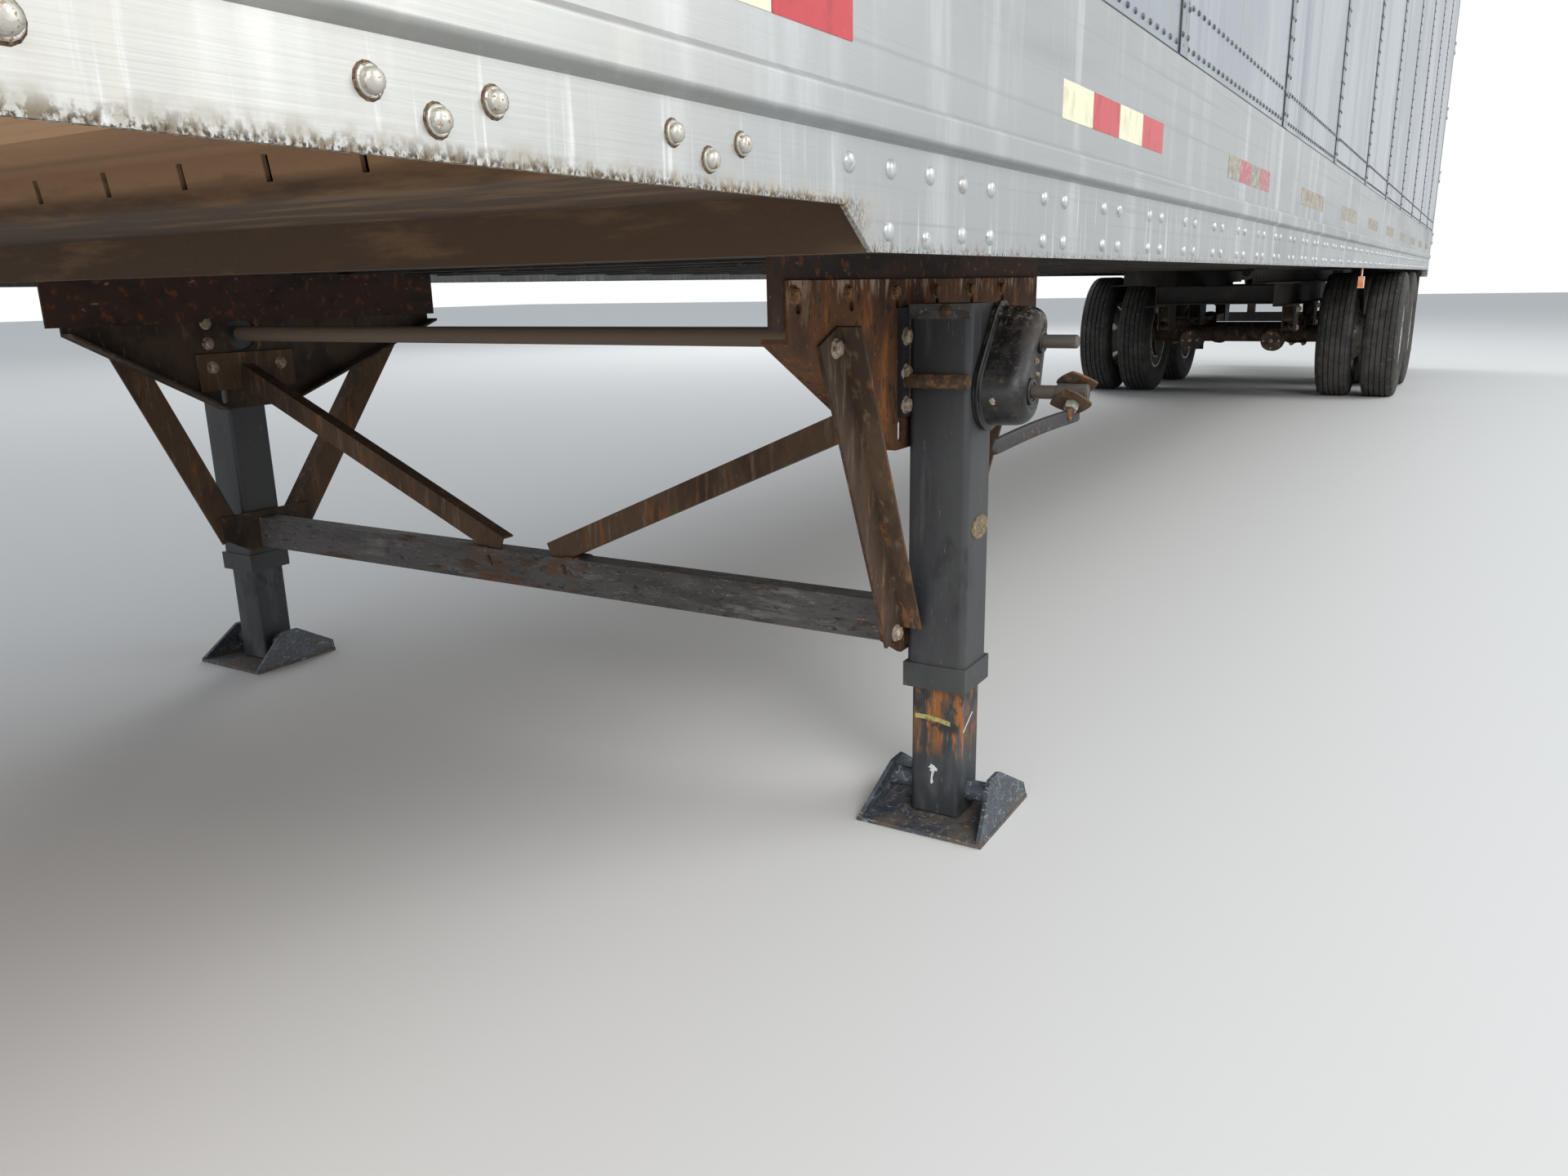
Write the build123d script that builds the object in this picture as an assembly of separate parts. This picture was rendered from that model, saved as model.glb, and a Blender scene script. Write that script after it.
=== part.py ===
from build123d import *
import os
from math import atan2, cos, degrees, pi, radians, sin, tan

# Semi trailer: a plate-wall dry van with landing gear, swing doors and a sliding tandem.
# X points to the trailer's left, Y to its rear and Z up from the ground. Lengths are millimetres.

# Body
BODY_LENGTH = 16154.0
BODY_WIDTH = 2591.0
BODY_HEIGHT = 4115.0
CORNER_RADIUS = 120.0

# Bottom rails
RAIL_BOTTOM = 1030.0
RAIL_TOP = 1410.0
RAIL_SKIN = 4.0
RAIL_WEB = 6.0
RIDGE_PROUD = 12.5
RIDGE_BOTTOM = 1140.0
RIDGE_TOP = 1186.0
RIDGE_RADIUS = 6.0
NOTCH_SETBACK = 2792.0
NOTCH_RISE = 45.0
NOTCH_CHAMFER = 60.0

# Floor
FLOOR_TOP = 1190.0
FLOOR_THICKNESS = 35.0
CROSS_DEPTH = 102.0
CROSS_FLANGE = 58.0
CROSS_WALL = 5.0
CROSS_PITCH = 304.8
LEDGE_WIDTH = 37.0
LEDGE_THICKNESS = 6.0

# Walls, roof and nose
WALL_THICKNESS = 6.0
PANEL_PITCH = 1333.0
PANEL_GAP = 2.0
FIRST_JOINT_SETBACK = 153.0
BATTEN_WIDTH = 64.0
BATTEN_PROUD = 3.0
BATTEN_CLEARANCE = 2.0
SCUFF_TOP = 1530.0
SCUFF_THICKNESS = 3.0
TOP_RAIL_SKIN = 7.0
TOP_RAIL_DEPTH = 130.0
TOP_RAIL_LAP = 55.0
TOP_RAIL_FLANGE = 54.0
TOP_RAIL_WALL = 6.0
ROOF_SHEET = 2.0
ROOF_CROWN = 5.0
ROOF_EDGE_INSET = 16.0
ROOF_NOSE_INSET = 10.0
BOW_PITCH = 610.0
BOW_DEPTH = 40.0
BOW_WIDTH = 44.0
BOW_BRIM = 18.0
BOW_WALL = 3.0
NOSE_POST_WIDTH = 70.0
NOSE_POST_DEPTH = 38.0
NOSE_POST_OFFSETS = (-900.0, -450.0, 0.0, 450.0, 900.0)

# Upper coupler and kingpin
COUPLER_PLATE = 9.5
COUPLER_NOSE_GAP = 6.0
COUPLER_LENGTH = 1950.0
COUPLER_BEAM_PITCH = 300.0
COUPLER_BEAM_FLANGE = 50.0
COUPLER_BEAM_WALL = 6.0
KINGPIN_SETBACK = 914.0
KINGPIN_HEAD_RADIUS = 35.7
KINGPIN_NECK_RADIUS = 25.4
KINGPIN_SHOULDER_RADIUS = 36.5
KINGPIN_SHOULDER_LENGTH = 35.0
KINGPIN_NECK_LENGTH = 35.0
KINGPIN_HEAD_LENGTH = 14.0
PAN_FLOOR = 1090.0
PAN_CEILING = 1146.0
PAN_STEP_SETBACK = 326.0
PAN_LAND = 60.0
PAN_DRAFT = 8.0
PAN_BEND = 10.0
PAN_WALL = 5.0
PAN_SLOT_PITCH = 142.0
PAN_SLOT_COUNT = 16
PAN_SLOT_WIDTH = 10.0
PAN_SLOT_BOTTOM = 1108.0
PAN_SLOT_TOP = 1134.0
KICK_SETBACK = 2783.0
KICK_BOTTOM = 1030.0
KICK_PLATE = 6.0
KICK_LIP = 34.0

# Landing gear
LEG_X = 1040.0
LEG_SETBACK = 3597.0
LEG_TUBE_X = 116.0
LEG_TUBE_Y = 110.0
LEG_TUBE_WALL = 6.0
LEG_TUBE_RADIUS = 12.0
LEG_TOP = 957.0
LEG_CAP = 6.0
LEG_CAP_BRIM = 3.0
COLLAR_TOP = 312.0
COLLAR_BOTTOM = 265.0
COLLAR_THICKNESS = 4.0
INNER_TUBE_X = 101.0
INNER_TUBE_Y = 95.0
INNER_TUBE_WALL = 7.0
INNER_TUBE_TOP = 620.0
SLIDING_GAP = 0.3
FOOT_SIZE = 252.0
FOOT_PLATE = 8.0
FOOT_REAR_HEIGHT = 30.0
FOOT_PEAK_HEIGHT = 92.0
FOOT_PEAK_HALF = 24.0
FOOT_PEAK_RADIUS = 14.0
FOOT_LEAN = 14.0
FOOT_PIN_HEIGHT = 52.0
FOOT_PIN_RADIUS = 20.0
LEG_LIFT = 12.0
FLANGE_PLATE = 8.0
WELD_DEPTH = 2.0
FLANGE_HALF = 84.0
FLANGE_BOTTOM = 770.0
WING_PLATE = 6.0
WING_TOP = 1005.0
WING_EDGE_BOTTOM = 915.0
WING_BOTTOM = 712.0
WING_FRONT = 455.0
WING_REAR = 640.0
WING_FOOT_HALF = 88.0
WING_LIP = 42.0
SHAFT_HOLE_RADIUS = 42.0
SLOT_WIDTH = 18.0
SLOT_HEIGHT = 38.0
WING_HOLE_RADIUS = 8.0
WING_HOLE_HEIGHT = 964.0
WING_HOLE_PITCH = 170.0
WING_HOLE_COUNT = 6
SLOT_OFFSET = 72.0
SLOT_BOTTOM = 726.0
GEAR_RAIL_WIDTH = 84.0
GEAR_RAIL_LEG = 70.0
GEAR_RAIL_WALL = 8.0
GEAR_RAIL_FRONT = 490.0
GEAR_RAIL_REAR = 660.0
BRACKET_BOTTOM = 330.0
BRACKET_TOP = 432.0
BRACKET_HALF = 135.0
BRACKET_PLATE = 8.0
BRACKET_PAD = 40.0
CROSSBAR_BOTTOM = 334.0
CROSSBAR_HEIGHT = 80.0
CROSSBAR_DEPTH = 50.0
CROSSBAR_WALL = 5.0
CROSS_SHAFT_RADIUS = 19.0
CROSS_SHAFT_HEIGHT = 903.0
STRUT_FLANGE = 70.0
STRUT_RIB = 45.0
STRUT_WALL = 6.0
STRUT_FRONT_REACH = 340.0
STRUT_REAR_REACH = 520.0
STRUT_TOP = 922.0
STRUT_FOOT_REACH = 100.0
STRUT_FOOT = 372.0
BRACE_HEIGHT = 52.0
BRACE_DEPTH = 34.0
BRACE_WALL = 5.0
BRACE_TOP = 800.0
BRACE_FOOT_X = 130.0
BRACE_PAD = 8.0
BRACE_PAD_HALF = 140.0
BRACE_PAD_BOTTOM = 762.0
BRACE_PAD_TOP = 856.0

# Gearbox and crank
GEARBOX_DEPTH = 86.0
GEARBOX_FLANGE = 8.0
GEARBOX_BRIM = 10.0
LOW_SHAFT_OFFSET = 20.0
LOW_SHAFT_HEIGHT = 812.0
LOW_LOBE_RADIUS = 60.0
HIGH_SHAFT_OFFSET = 70.0
HIGH_LOBE_RADIUS = 58.0
HIGH_SHAFT_HEIGHT = 895.0
CRANK_SHAFT_RADIUS = 14.0
HIGH_SHAFT_LENGTH = 62.0
LOW_SHAFT_LENGTH = 98.0
CRANK_CLEVIS_WIDTH = 36.0
CRANK_BAR_WIDTH = 30.0
CRANK_BAR_THICKNESS = 16.0
CRANK_RUN = 330.0
CRANK_FALL = 12.0
CRANK_DROP = 40.0
CRANK_TOE = 20.0
CRANK_TAIL = 14.0
CLEVIS_LENGTH = 44.0
CLEVIS_SETBACK = 2.0
TAB_REACH = 34.0
TAB_HALF = 26.0
TAB_PLATE = 6.0
TAB_CORNER = 5.0
CRANK_PIN_RADIUS = 8.0
CRANK_PIN_OVERRUN = 10.0

# Tandem
REAR_AXLE_OVERHANG = 2257.0
AXLE_SPACING = 1245.0
TYRE_DIAMETER = 1014.0
TYRE_WIDTH = 274.0
TREAD_WIDTH = 222.0
TRACK = 1969.0
DUAL_SPACING = 343.0
BEAD_RADIUS = 290.0
RIM_GAP = 0.3
RIM_FLANGE_RADIUS = 300.0
RIM_HALF_WIDTH = 112.0
RIM_FLANGE = 7.0
RIM_WALL = 9.0
DISC_WALL = 11.0
DISC_HUB_RADIUS = 165.0
HAND_HOLE_COUNT = 5
HAND_HOLE_CIRCLE = 225.0
HAND_HOLE_RADIUS = 30.0
HUB_RADIUS = 110.0
HUB_CAP_RADIUS = 78.0
HUB_REACH = 150.0
SPINDLE_RADIUS = 45.0
SPINDLE_GAP = 0.3
DRUM_RADIUS = 212.0
DRUM_WALL = 14.0
DRUM_WIDTH = 195.0
DRUM_INNER_X = 705.0
DRUM_MOUTH_RADIUS = 150.0
DUST_SHIELD_X = 682.0
DUST_SHIELD_RADIUS = 196.0
DUST_SHIELD = 4.0
AXLE_RADIUS = 63.5
AXLE_TUBE_HALF = 700.0
SPRING_X = 490.0
SPRING_WIDTH = 76.0
LEAF_THICKNESS = 13.0
SPRING_SEAT = 20.0
SPRING_SEAT_HALF = 70.0
SPRING_REACH = 560.0
SPRING_RISE = 10.0
SPRING_CLAMP = 22.0
HANGER_CAP = 8.0
HANGER_FOOT = 92.0
HANGER_HEAD = 130.0
RADIUS_ROD_HEIGHT = 590.0
RADIUS_ROD_RADIUS = 17.0
RADIUS_EYE_RADIUS = 24.0
SLIDER_X = 490.0
SLIDER_WIDTH = 100.0
SLIDER_WALL = 7.0
SLIDER_BOTTOM = 770.0
SLIDER_TOP = 945.0
SLIDER_FRONT_REACH = 1250.0
SLIDER_REAR_REACH = 820.0
SLIDE_RAIL_FRONT_REACH = 2250.0
SLIDE_RAIL_REAR_REACH = 1300.0
SLIDE_RAIL_WIDTH = 100.0
SLIDE_RAIL_WALL = 8.0
HANGER_BOTTOM = 560.0
HANGER_PLATE = 8.0
HANGER_GAP = 2.0
CHAMBER_RADIUS = 82.0
CHAMBER_LENGTH = 230.0
CHAMBER_X = 330.0
CHAMBER_REACH = 180.0
CHAMBER_HEIGHT = 470.0
TANK_RADIUS = 120.0
TANK_LENGTH = 720.0
TANK_CROSS_FROM_REAR = 3
TANK_DROP = 82.0
FLAP_CROSS_FROM_REAR = 4
FLAP_THICKNESS = 10.0
FLAP_BOTTOM = 260.0
FLAP_WIDTH = 600.0
FLAP_TOP_DROP = 30.0
FLAP_ANGLE_DEPTH = 70.0
FLAP_ANGLE_WALL = 6.0
FLAP_ANGLE_LEG = 50.0
BULGE_DROP = 10.0
BULGE_ROUND = 60.0
SHOULDER_RISE = 50.0
SHOULDER_INSET = 4.0
SHOULDER_ROUND = 40.0
TREAD_ROUND = 18.0
DISC_DISH_SHARE = 0.35
HUB_CAP_WALL = 14.0
HUB_CAP_BEVEL = 12.0
HUB_NECK_FAR = 60.0
HUB_NECK_NEAR = 50.0
HUB_THROAT = 30.0
DRUM_BACK = 20.0
SPINDLE_BACK = 20.0
SPRING_SEAT_LOW = 30.0
SPRING_CLAMP_HALF = 60.0
LEAF_SHARES = (0.55, 0.8, 1.0)
ROCKER_INSET = 6.0
ROCKER_ARCH_HALF = 30.0
ROCKER_ARCH = 12.0
ROCKER_ARCH_ROUND = 20.0
ROCKER_END = 26.0
ROCKER_HEAD_HALF = 40.0
RADIUS_ROD_END = 16.0
BOGIE_CROSS_HALF = 40.0
BOGIE_CROSS_INSET = 20.0
BOGIE_CROSS_OFFSET = 60.0
CHAMBER_BAND_SHARE = 0.55
CHAMBER_BAND_HALF = 8.0
CHAMBER_BAND_PROUD = 9.0
CHAMBER_ARM_HALF = 12.0
CHAMBER_ARM_DROP = 30.0
CHAMBER_ARM_RISE = 40.0
TANK_ROUND = 40.0
TANK_STRAP_X = 200.0
TANK_STRAP_HALF = 20.0
TANK_STRAP_EDGE = 4.0

# Rear frame and doors
FRAME_DEPTH = 60.0
POST_WIDTH = 56.0
POST_WALL = 6.0
HEADER_DEPTH = 165.0
SILL_BOTTOM = 960.0
DOOR_THICKNESS = 32.0
DOOR_INSET = 5.0
DOOR_GAP = 5.0
DOOR_MEETING_GAP = 16.0
DOOR_BOTTOM = 1196.0
HINGE_INSET = 2.0
HINGE_OFFSET = 62.0
HINGE_RADIUS = 11.0
HINGE_COUNT = 5
HINGE_SILL_GAP = 154.0
HINGE_HEADER_GAP = 100.0
HINGE_KNUCKLE = 60.0
HINGE_STRAP = 170.0
HINGE_PLATE = 8.0
HINGE_GAP = 0.3
STRAP_SETBACK = 18.0
ROD_RADIUS = 13.5
ROD_STANDOFF = 27.0
ROD_OFFSETS = (250.0, 880.0)
ROD_OVERRUN = 70.0
KEEPER_WIDTH = 78.0
KEEPER_PLATE = 3.0
CAM_WIDTH = 40.0
CAM_HEIGHT = 26.0
HANDLE_HEIGHT = 1750.0
HANDLE_LENGTH = 460.0
HANDLE_THICKNESS = 10.0
HANDLE_WIDTH = 30.0
BUMPER_DEPTH = 56.0
BUMPER_WIDTH = 150.0
BUMPER_HEIGHT = 110.0
BUMPER_X = 1150.0
BUMPER_BOTTOM = 965.0
GUARD_BOTTOM = 500.0
GUARD_SIZE = 102.0
GUARD_HALF = 1200.0
GUARD_POST_X = 460.0
GUARD_POST_HALF = 40.0
GUARD_POST_INSET = 10.0
GUARD_BRACE_RISE = 80.0
GUARD_BRACE_REACH = 520.0
GUARD_BRACE_DROP = 30.0
GUARD_BRACE_HALF = 25.0
GUARD_SEAT_HALF = 60.0
GUARD_SEAT_FRONT = 600.0
GUARD_SEAT_BACK = 440.0
GUARD_SEAT_DEPTH = 45.0
KEEPER_MARGIN = 10.0
KEEPER_JAW = 8.0
KEEPER_REACH = 32.0
CAM_BACK = 8.0
CAM_FRONT = 14.0
GUIDE_RISE = 120.0
GUIDE_HEADER_DROP = 140.0
GUIDE_HALF = 26.0
GUIDE_DEPTH = 17.0
GUIDE_HALF_HEIGHT = 20.0
HANDLE_BACK = 4.0
CATCH_START = 60.0
CATCH_END = 20.0
CATCH_HALF = 24.0
HINGE_LEAF_SET = 8.0

# Lamps and nose fittings
LAMP_RADIUS = 50.0
LAMP_DEPTH = 16.0
LAMP_OFFSETS = (680.0, 800.0)
LAMP_HEIGHT = 1058.0
ID_LAMP_PITCH = 180.0
ID_LAMP_LENGTH = 70.0
ID_LAMP_HEIGHT = 24.0
ID_LAMP_DROP = 65.0
CLEARANCE_LAMP_X = 1220.0
NOSE_LAMP_X = 1080.0
NOSE_LAMP_DROP = 75.0
SIDE_LAMP_DROP = 128.0
SIDE_LAMP_SIZE = 62.0
NOSE_BOX_HEIGHT = 1500.0
GLAD_OFFSET = 230.0
NOSE_REACH = 68.0
NOSE_PLATE = 4.0
NOSE_PLATE_HALF = 320.0
NOSE_PLATE_RISE = 60.0
SOCKET_RADIUS = 42.0
GLAD_REACH = 40.0
GLAD_RADIUS = 22.0
GLAD_HALF = 38.0
GLAD_FRONT = 54.0
GLAD_BACK = 24.0
GLAD_DROP = 26.0
GLAD_RISE = 30.0
SIDE_LAMP_HALF = 14.0
LAMP_ARM_HALF = 3.0
LAMP_ARM_REACH = 18.0

# Positions that follow from the sizes above
NOSE_Y = -BODY_LENGTH / 2
REAR_Y = BODY_LENGTH / 2
HALF_WIDTH = BODY_WIDTH / 2
RAIL_X = HALF_WIDTH - RIDGE_PROUD
WALL_X = RAIL_X - RAIL_SKIN
WEB_X = RAIL_X - RAIL_WEB
LINER_X = WALL_X - WALL_THICKNESS
FLOOR_BOTTOM = FLOOR_TOP - FLOOR_THICKNESS
CROSS_BOTTOM = FLOOR_BOTTOM - CROSS_DEPTH
LEDGE_TOP = FLOOR_TOP + LEDGE_THICKNESS
RAIL_FRONT = NOSE_Y + FIRST_JOINT_SETBACK
FRAME_FRONT = REAR_Y - FRAME_DEPTH
KICK_Y = NOSE_Y + KICK_SETBACK
KICK_FLOOR = RAIL_BOTTOM + NOTCH_RISE
TOP_RAIL_X = WALL_X + TOP_RAIL_SKIN
ROOF_SEAT = BODY_HEIGHT - ROOF_CROWN - ROOF_SHEET
TOP_RAIL_BOTTOM = BODY_HEIGHT - TOP_RAIL_DEPTH
HEADER_BOTTOM = BODY_HEIGHT - HEADER_DEPTH
ID_LAMP_BOTTOM = BODY_HEIGHT - ID_LAMP_DROP
NOSE_LAMP_BOTTOM = BODY_HEIGHT - NOSE_LAMP_DROP
PANEL_COUNT = int((FRAME_FRONT - RAIL_FRONT) // PANEL_PITCH) + 1
BOW_COUNT = int((FRAME_FRONT - RAIL_FRONT) // BOW_PITCH)
CROSS_COUNT = int((FRAME_FRONT - KICK_Y) // CROSS_PITCH)
MID_LAMP_CROSS = CROSS_COUNT // 2 - 1
LEG_Y = NOSE_Y + LEG_SETBACK
REAR_AXLE_Y = REAR_Y - REAR_AXLE_OVERHANG
FRONT_AXLE_Y = REAR_AXLE_Y - AXLE_SPACING
TYRE_RADIUS = TYRE_DIAMETER / 2
FLANGE_X = LEG_X - LEG_TUBE_X / 2
WING_X = FLANGE_X - FLANGE_PLATE
WING_INNER_X = WING_X - WING_PLATE
DOOR_FACE = REAR_Y - DOOR_INSET
DOOR_BACK = DOOR_FACE - DOOR_THICKNESS
DOOR_EDGE = RAIL_X - POST_WIDTH - DOOR_GAP
HINGE_X = RAIL_X - HINGE_INSET
HINGE_Y = DOOR_FACE + HINGE_OFFSET

UNIT = {"x": (1, 0, 0), "y": (0, 1, 0), "z": (0, 0, 1)}


def block(x_span, y_span, z_span):
    """Box between its lowest and highest value on each axis."""
    size = [high - low for low, high in (x_span, y_span, z_span)]
    middle = [(high + low) / 2 for low, high in (x_span, y_span, z_span)]
    return Pos(*middle) * Box(*size)


def placer(axis, along):
    """Function that turns an outline's two values into a point of the plane across an axis."""
    if axis == "x":
        return lambda u, v: Vector(along, u, v)
    if axis == "y":
        return lambda u, v: Vector(u, along, v)
    return lambda u, v: Vector(u, v, along)


def corner_arc(before, here, after, radius):
    """Start, middle and end of the arc that rounds one corner."""
    back = (before - here).normalized()
    ahead = (after - here).normalized()
    half = radians(back.get_angle(ahead)) / 2
    setback = radius / tan(half)
    inward = (back + ahead).normalized()
    return here + back * setback, here + inward * (radius / sin(half) - radius), here + ahead * setback


def outline(rows, place):
    """Face inside a closed loop. Rows are (u, v), or (u, v, radius) for a rounded corner."""
    corners = [Vector(row[0], row[1]) for row in rows]
    stops = []
    for index, row in enumerate(rows):
        here = corners[index]
        if len(row) == 3:
            after = corners[(index + 1) % len(rows)]
            stops.append(corner_arc(corners[index - 1], here, after, row[2]))
        else:
            stops.append((here, None, here))
    edges = []
    for index, (start, middle, end) in enumerate(stops):
        following = stops[(index + 1) % len(stops)][0]
        if middle is not None:
            points = [place(point.X, point.Y) for point in (start, middle, end)]
            edges.append(ThreePointArc(*points))
        if (following - end).length > 0.001:
            edges.append(Line(place(end.X, end.Y), place(following.X, following.Y)))
    return make_face(edges)


def prism(axis, start, end, rows):
    """Solid of one outline, drawn across an axis, from start to end along it."""
    return extrude(outline(rows, placer(axis, start)), amount=end - start, dir=UNIT[axis])


def rod(axis, start, end, u, v, radius):
    """Round bar along an axis; u and v are the two other coordinates in X, Y, Z order."""
    base = placer(axis, min(start, end))(u, v)
    return Solid.make_cylinder(radius, abs(end - start), Plane(origin=base, z_dir=UNIT[axis]))


def turned(axis_y, axis_z, rows):
    """Solid turned about a line along X; rows are (x, radius) or (x, radius, corner radius)."""
    face = outline(rows, lambda u, v: Vector(u, axis_y, axis_z + v))
    return revolve(face, axis=Axis((0, axis_y, axis_z), (1, 0, 0)))


def beam(start, end, side, rows):
    """Straight bar between two points; rows are its section across the bar, u along side."""
    start = Vector(*start)
    way = Vector(*end) - start
    plane = Plane(origin=start, x_dir=side, z_dir=way)
    face = outline(rows, lambda u, v: plane.from_local_coords(Vector(u, v, 0)))
    return extrude(face, amount=way.length, dir=way.normalized())


def mirrored(*solids):
    """The same solids on the other side of the trailer."""
    return [mirror(solid, about=Plane.YZ) for solid in solids]


def both_sides(*solids):
    return list(solids) + mirrored(*solids)


def fused(pieces):
    """One solid from pieces that touch or overlap."""
    return pieces[0].fuse(*pieces[1:]) if len(pieces) > 1 else pieces[0]


def save(node, pieces):
    """Write one node's solids to its STEP file."""
    solids = [solid for piece in pieces for solid in piece.solids()]
    export_step(Compound(children=solids), os.path.join("parts", node + ".step"))


def channel_rows(u_low, u_high, v_low, v_high, wall, open_low):
    """Section of a channel with its web at one end of u and flanges at both ends of v."""
    web = u_high if open_low else u_low
    tip = u_low if open_low else u_high
    inner = web - wall if open_low else web + wall
    return [(web, v_low), (tip, v_low), (tip, v_low + wall), (inner, v_low + wall),
            (inner, v_high - wall), (tip, v_high - wall), (tip, v_high), (web, v_high)]


def beam_rows(middle, half, bottom, top, wall):
    """Section of an I-beam with its web at the middle."""
    web = wall / 2
    return [(middle - half, bottom), (middle + half, bottom), (middle + half, bottom + wall),
            (middle + web, bottom + wall), (middle + web, top - wall), (middle + half, top - wall),
            (middle + half, top), (middle - half, top), (middle - half, top - wall),
            (middle - web, top - wall), (middle - web, bottom + wall), (middle - half, bottom + wall)]


# Floor and bottom rails

def cross_y(index):
    return KICK_Y + index * CROSS_PITCH


def floor_deck():
    """Deck from rail to rail, rounded to the nose."""
    front = NOSE_Y + COUPLER_NOSE_GAP
    radius = CORNER_RADIUS - COUPLER_NOSE_GAP
    plan = [(WEB_X, FRAME_FRONT), (WEB_X, front, radius), (-WEB_X, front, radius), (-WEB_X, FRAME_FRONT)]
    return [prism("z", FLOOR_BOTTOM, FLOOR_TOP, plan)]


def crossmembers():
    """I-beams at an even pitch behind the kick plate, each from rail web to rail web."""
    beams = []
    for step in range(1, CROSS_COUNT + 1):
        middle = cross_y(step)
        rows = beam_rows(middle, CROSS_FLANGE / 2, CROSS_BOTTOM, FLOOR_BOTTOM, CROSS_WALL)
        beams.append(prism("x", -WEB_X, WEB_X, rows))
    return beams


def bottom_rail():
    """Wide rail with a rounded ridge, stepped up ahead of the landing gear."""
    rows = [(RAIL_X, RAIL_BOTTOM), (RAIL_X, RIDGE_BOTTOM), (HALF_WIDTH, RIDGE_BOTTOM + 8, RIDGE_RADIUS),
            (HALF_WIDTH, RIDGE_TOP - 8, RIDGE_RADIUS), (RAIL_X, RIDGE_TOP), (RAIL_X, RAIL_TOP),
            (WALL_X, RAIL_TOP), (WALL_X, LEDGE_TOP), (WALL_X - LEDGE_WIDTH, LEDGE_TOP),
            (WALL_X - LEDGE_WIDTH, FLOOR_TOP), (WEB_X, FLOOR_TOP), (WEB_X, RAIL_BOTTOM)]
    rail = prism("y", RAIL_FRONT, FRAME_FRONT, rows)
    notch = NOSE_Y + NOTCH_SETBACK
    rows = [(RAIL_FRONT - 1, RAIL_BOTTOM - 1), (notch, RAIL_BOTTOM - 1), (notch, RAIL_BOTTOM),
            (notch - NOTCH_CHAMFER, KICK_FLOOR), (RAIL_FRONT - 1, KICK_FLOOR)]
    return rail - prism("x", WEB_X - 1, HALF_WIDTH + 1, rows)


# Walls, roof and nose

def joint_y(index):
    return RAIL_FRONT + index * PANEL_PITCH


def wall_panels():
    """Wall plates, each between two joints; the last runs to the rear frame."""
    plates = []
    for index in range(PANEL_COUNT):
        start = joint_y(index) + PANEL_GAP / 2
        end = joint_y(index + 1) - PANEL_GAP / 2 if index < PANEL_COUNT - 1 else FRAME_FRONT
        plates.append(block((LINER_X, WALL_X), (start, end), (LEDGE_TOP, TOP_RAIL_BOTTOM + TOP_RAIL_LAP)))
    return plates


def wall_posts():
    """Outer joint strips, and the scuff plate along the foot of the inner face."""
    strips = []
    half = BATTEN_WIDTH / 2
    low = RAIL_TOP + BATTEN_CLEARANCE
    high = TOP_RAIL_BOTTOM - BATTEN_CLEARANCE
    for index in range(PANEL_COUNT):
        middle = joint_y(index)
        strips.append(block((WALL_X, WALL_X + BATTEN_PROUD), (middle - half, middle + half), (low, high)))
    strips.append(block((LINER_X - SCUFF_THICKNESS, LINER_X), (RAIL_FRONT, FRAME_FRONT),
                        (LEDGE_TOP, SCUFF_TOP)))
    return strips


def top_rail():
    """Rail that laps the wall outside and carries the roof on an inward flange."""
    lap_top = TOP_RAIL_BOTTOM + TOP_RAIL_LAP
    flange_x = WALL_X - TOP_RAIL_FLANGE
    rows = [(WALL_X, TOP_RAIL_BOTTOM), (TOP_RAIL_X, TOP_RAIL_BOTTOM), (TOP_RAIL_X, ROOF_SEAT, 14.0),
            (flange_x, ROOF_SEAT), (flange_x, ROOF_SEAT - TOP_RAIL_WALL),
            (LINER_X, ROOF_SEAT - TOP_RAIL_WALL), (LINER_X, lap_top), (WALL_X, lap_top)]
    return prism("y", RAIL_FRONT, FRAME_FRONT, rows)


def nose_ring(outer_x, outer_y, radius, thickness, low, high):
    """Band that runs round the nose with both its corners, open to the rear."""
    inner_x = outer_x - thickness
    inner_y = outer_y + thickness
    inner_radius = radius - thickness
    rows = [(outer_x, RAIL_FRONT), (outer_x, outer_y, radius), (-outer_x, outer_y, radius),
            (-outer_x, RAIL_FRONT), (-inner_x, RAIL_FRONT), (-inner_x, inner_y, inner_radius),
            (inner_x, inner_y, inner_radius), (inner_x, RAIL_FRONT)]
    return prism("z", low, high, rows)


def front_wall():
    """Nose skin with its sill band, its header and the upright posts behind it."""
    skin_y = NOSE_Y + RAIL_SKIN
    skin_radius = CORNER_RADIUS - RAIL_SKIN
    skin = nose_ring(WALL_X, skin_y, skin_radius, WALL_THICKNESS, FLOOR_TOP, ROOF_SEAT - TOP_RAIL_WALL)
    sill = nose_ring(RAIL_X, NOSE_Y, CORNER_RADIUS, RAIL_SKIN, KICK_FLOOR, RAIL_TOP)
    header_y = skin_y - TOP_RAIL_SKIN
    header_radius = skin_radius + TOP_RAIL_SKIN
    header = nose_ring(TOP_RAIL_X, header_y, header_radius, TOP_RAIL_SKIN, TOP_RAIL_BOTTOM, ROOF_SEAT)
    seat = nose_ring(WALL_X, skin_y, skin_radius, TOP_RAIL_FLANGE, ROOF_SEAT - TOP_RAIL_WALL, ROOF_SEAT)
    back = skin_y + WALL_THICKNESS
    pieces = [skin, sill, header, seat]
    for offset in NOSE_POST_OFFSETS:
        half = NOSE_POST_WIDTH / 2
        pieces.append(block((offset - half, offset + half), (back, back + NOSE_POST_DEPTH),
                            (FLOOR_TOP, ROOF_SEAT - TOP_RAIL_WALL)))
    return [fused(pieces)]


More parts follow.
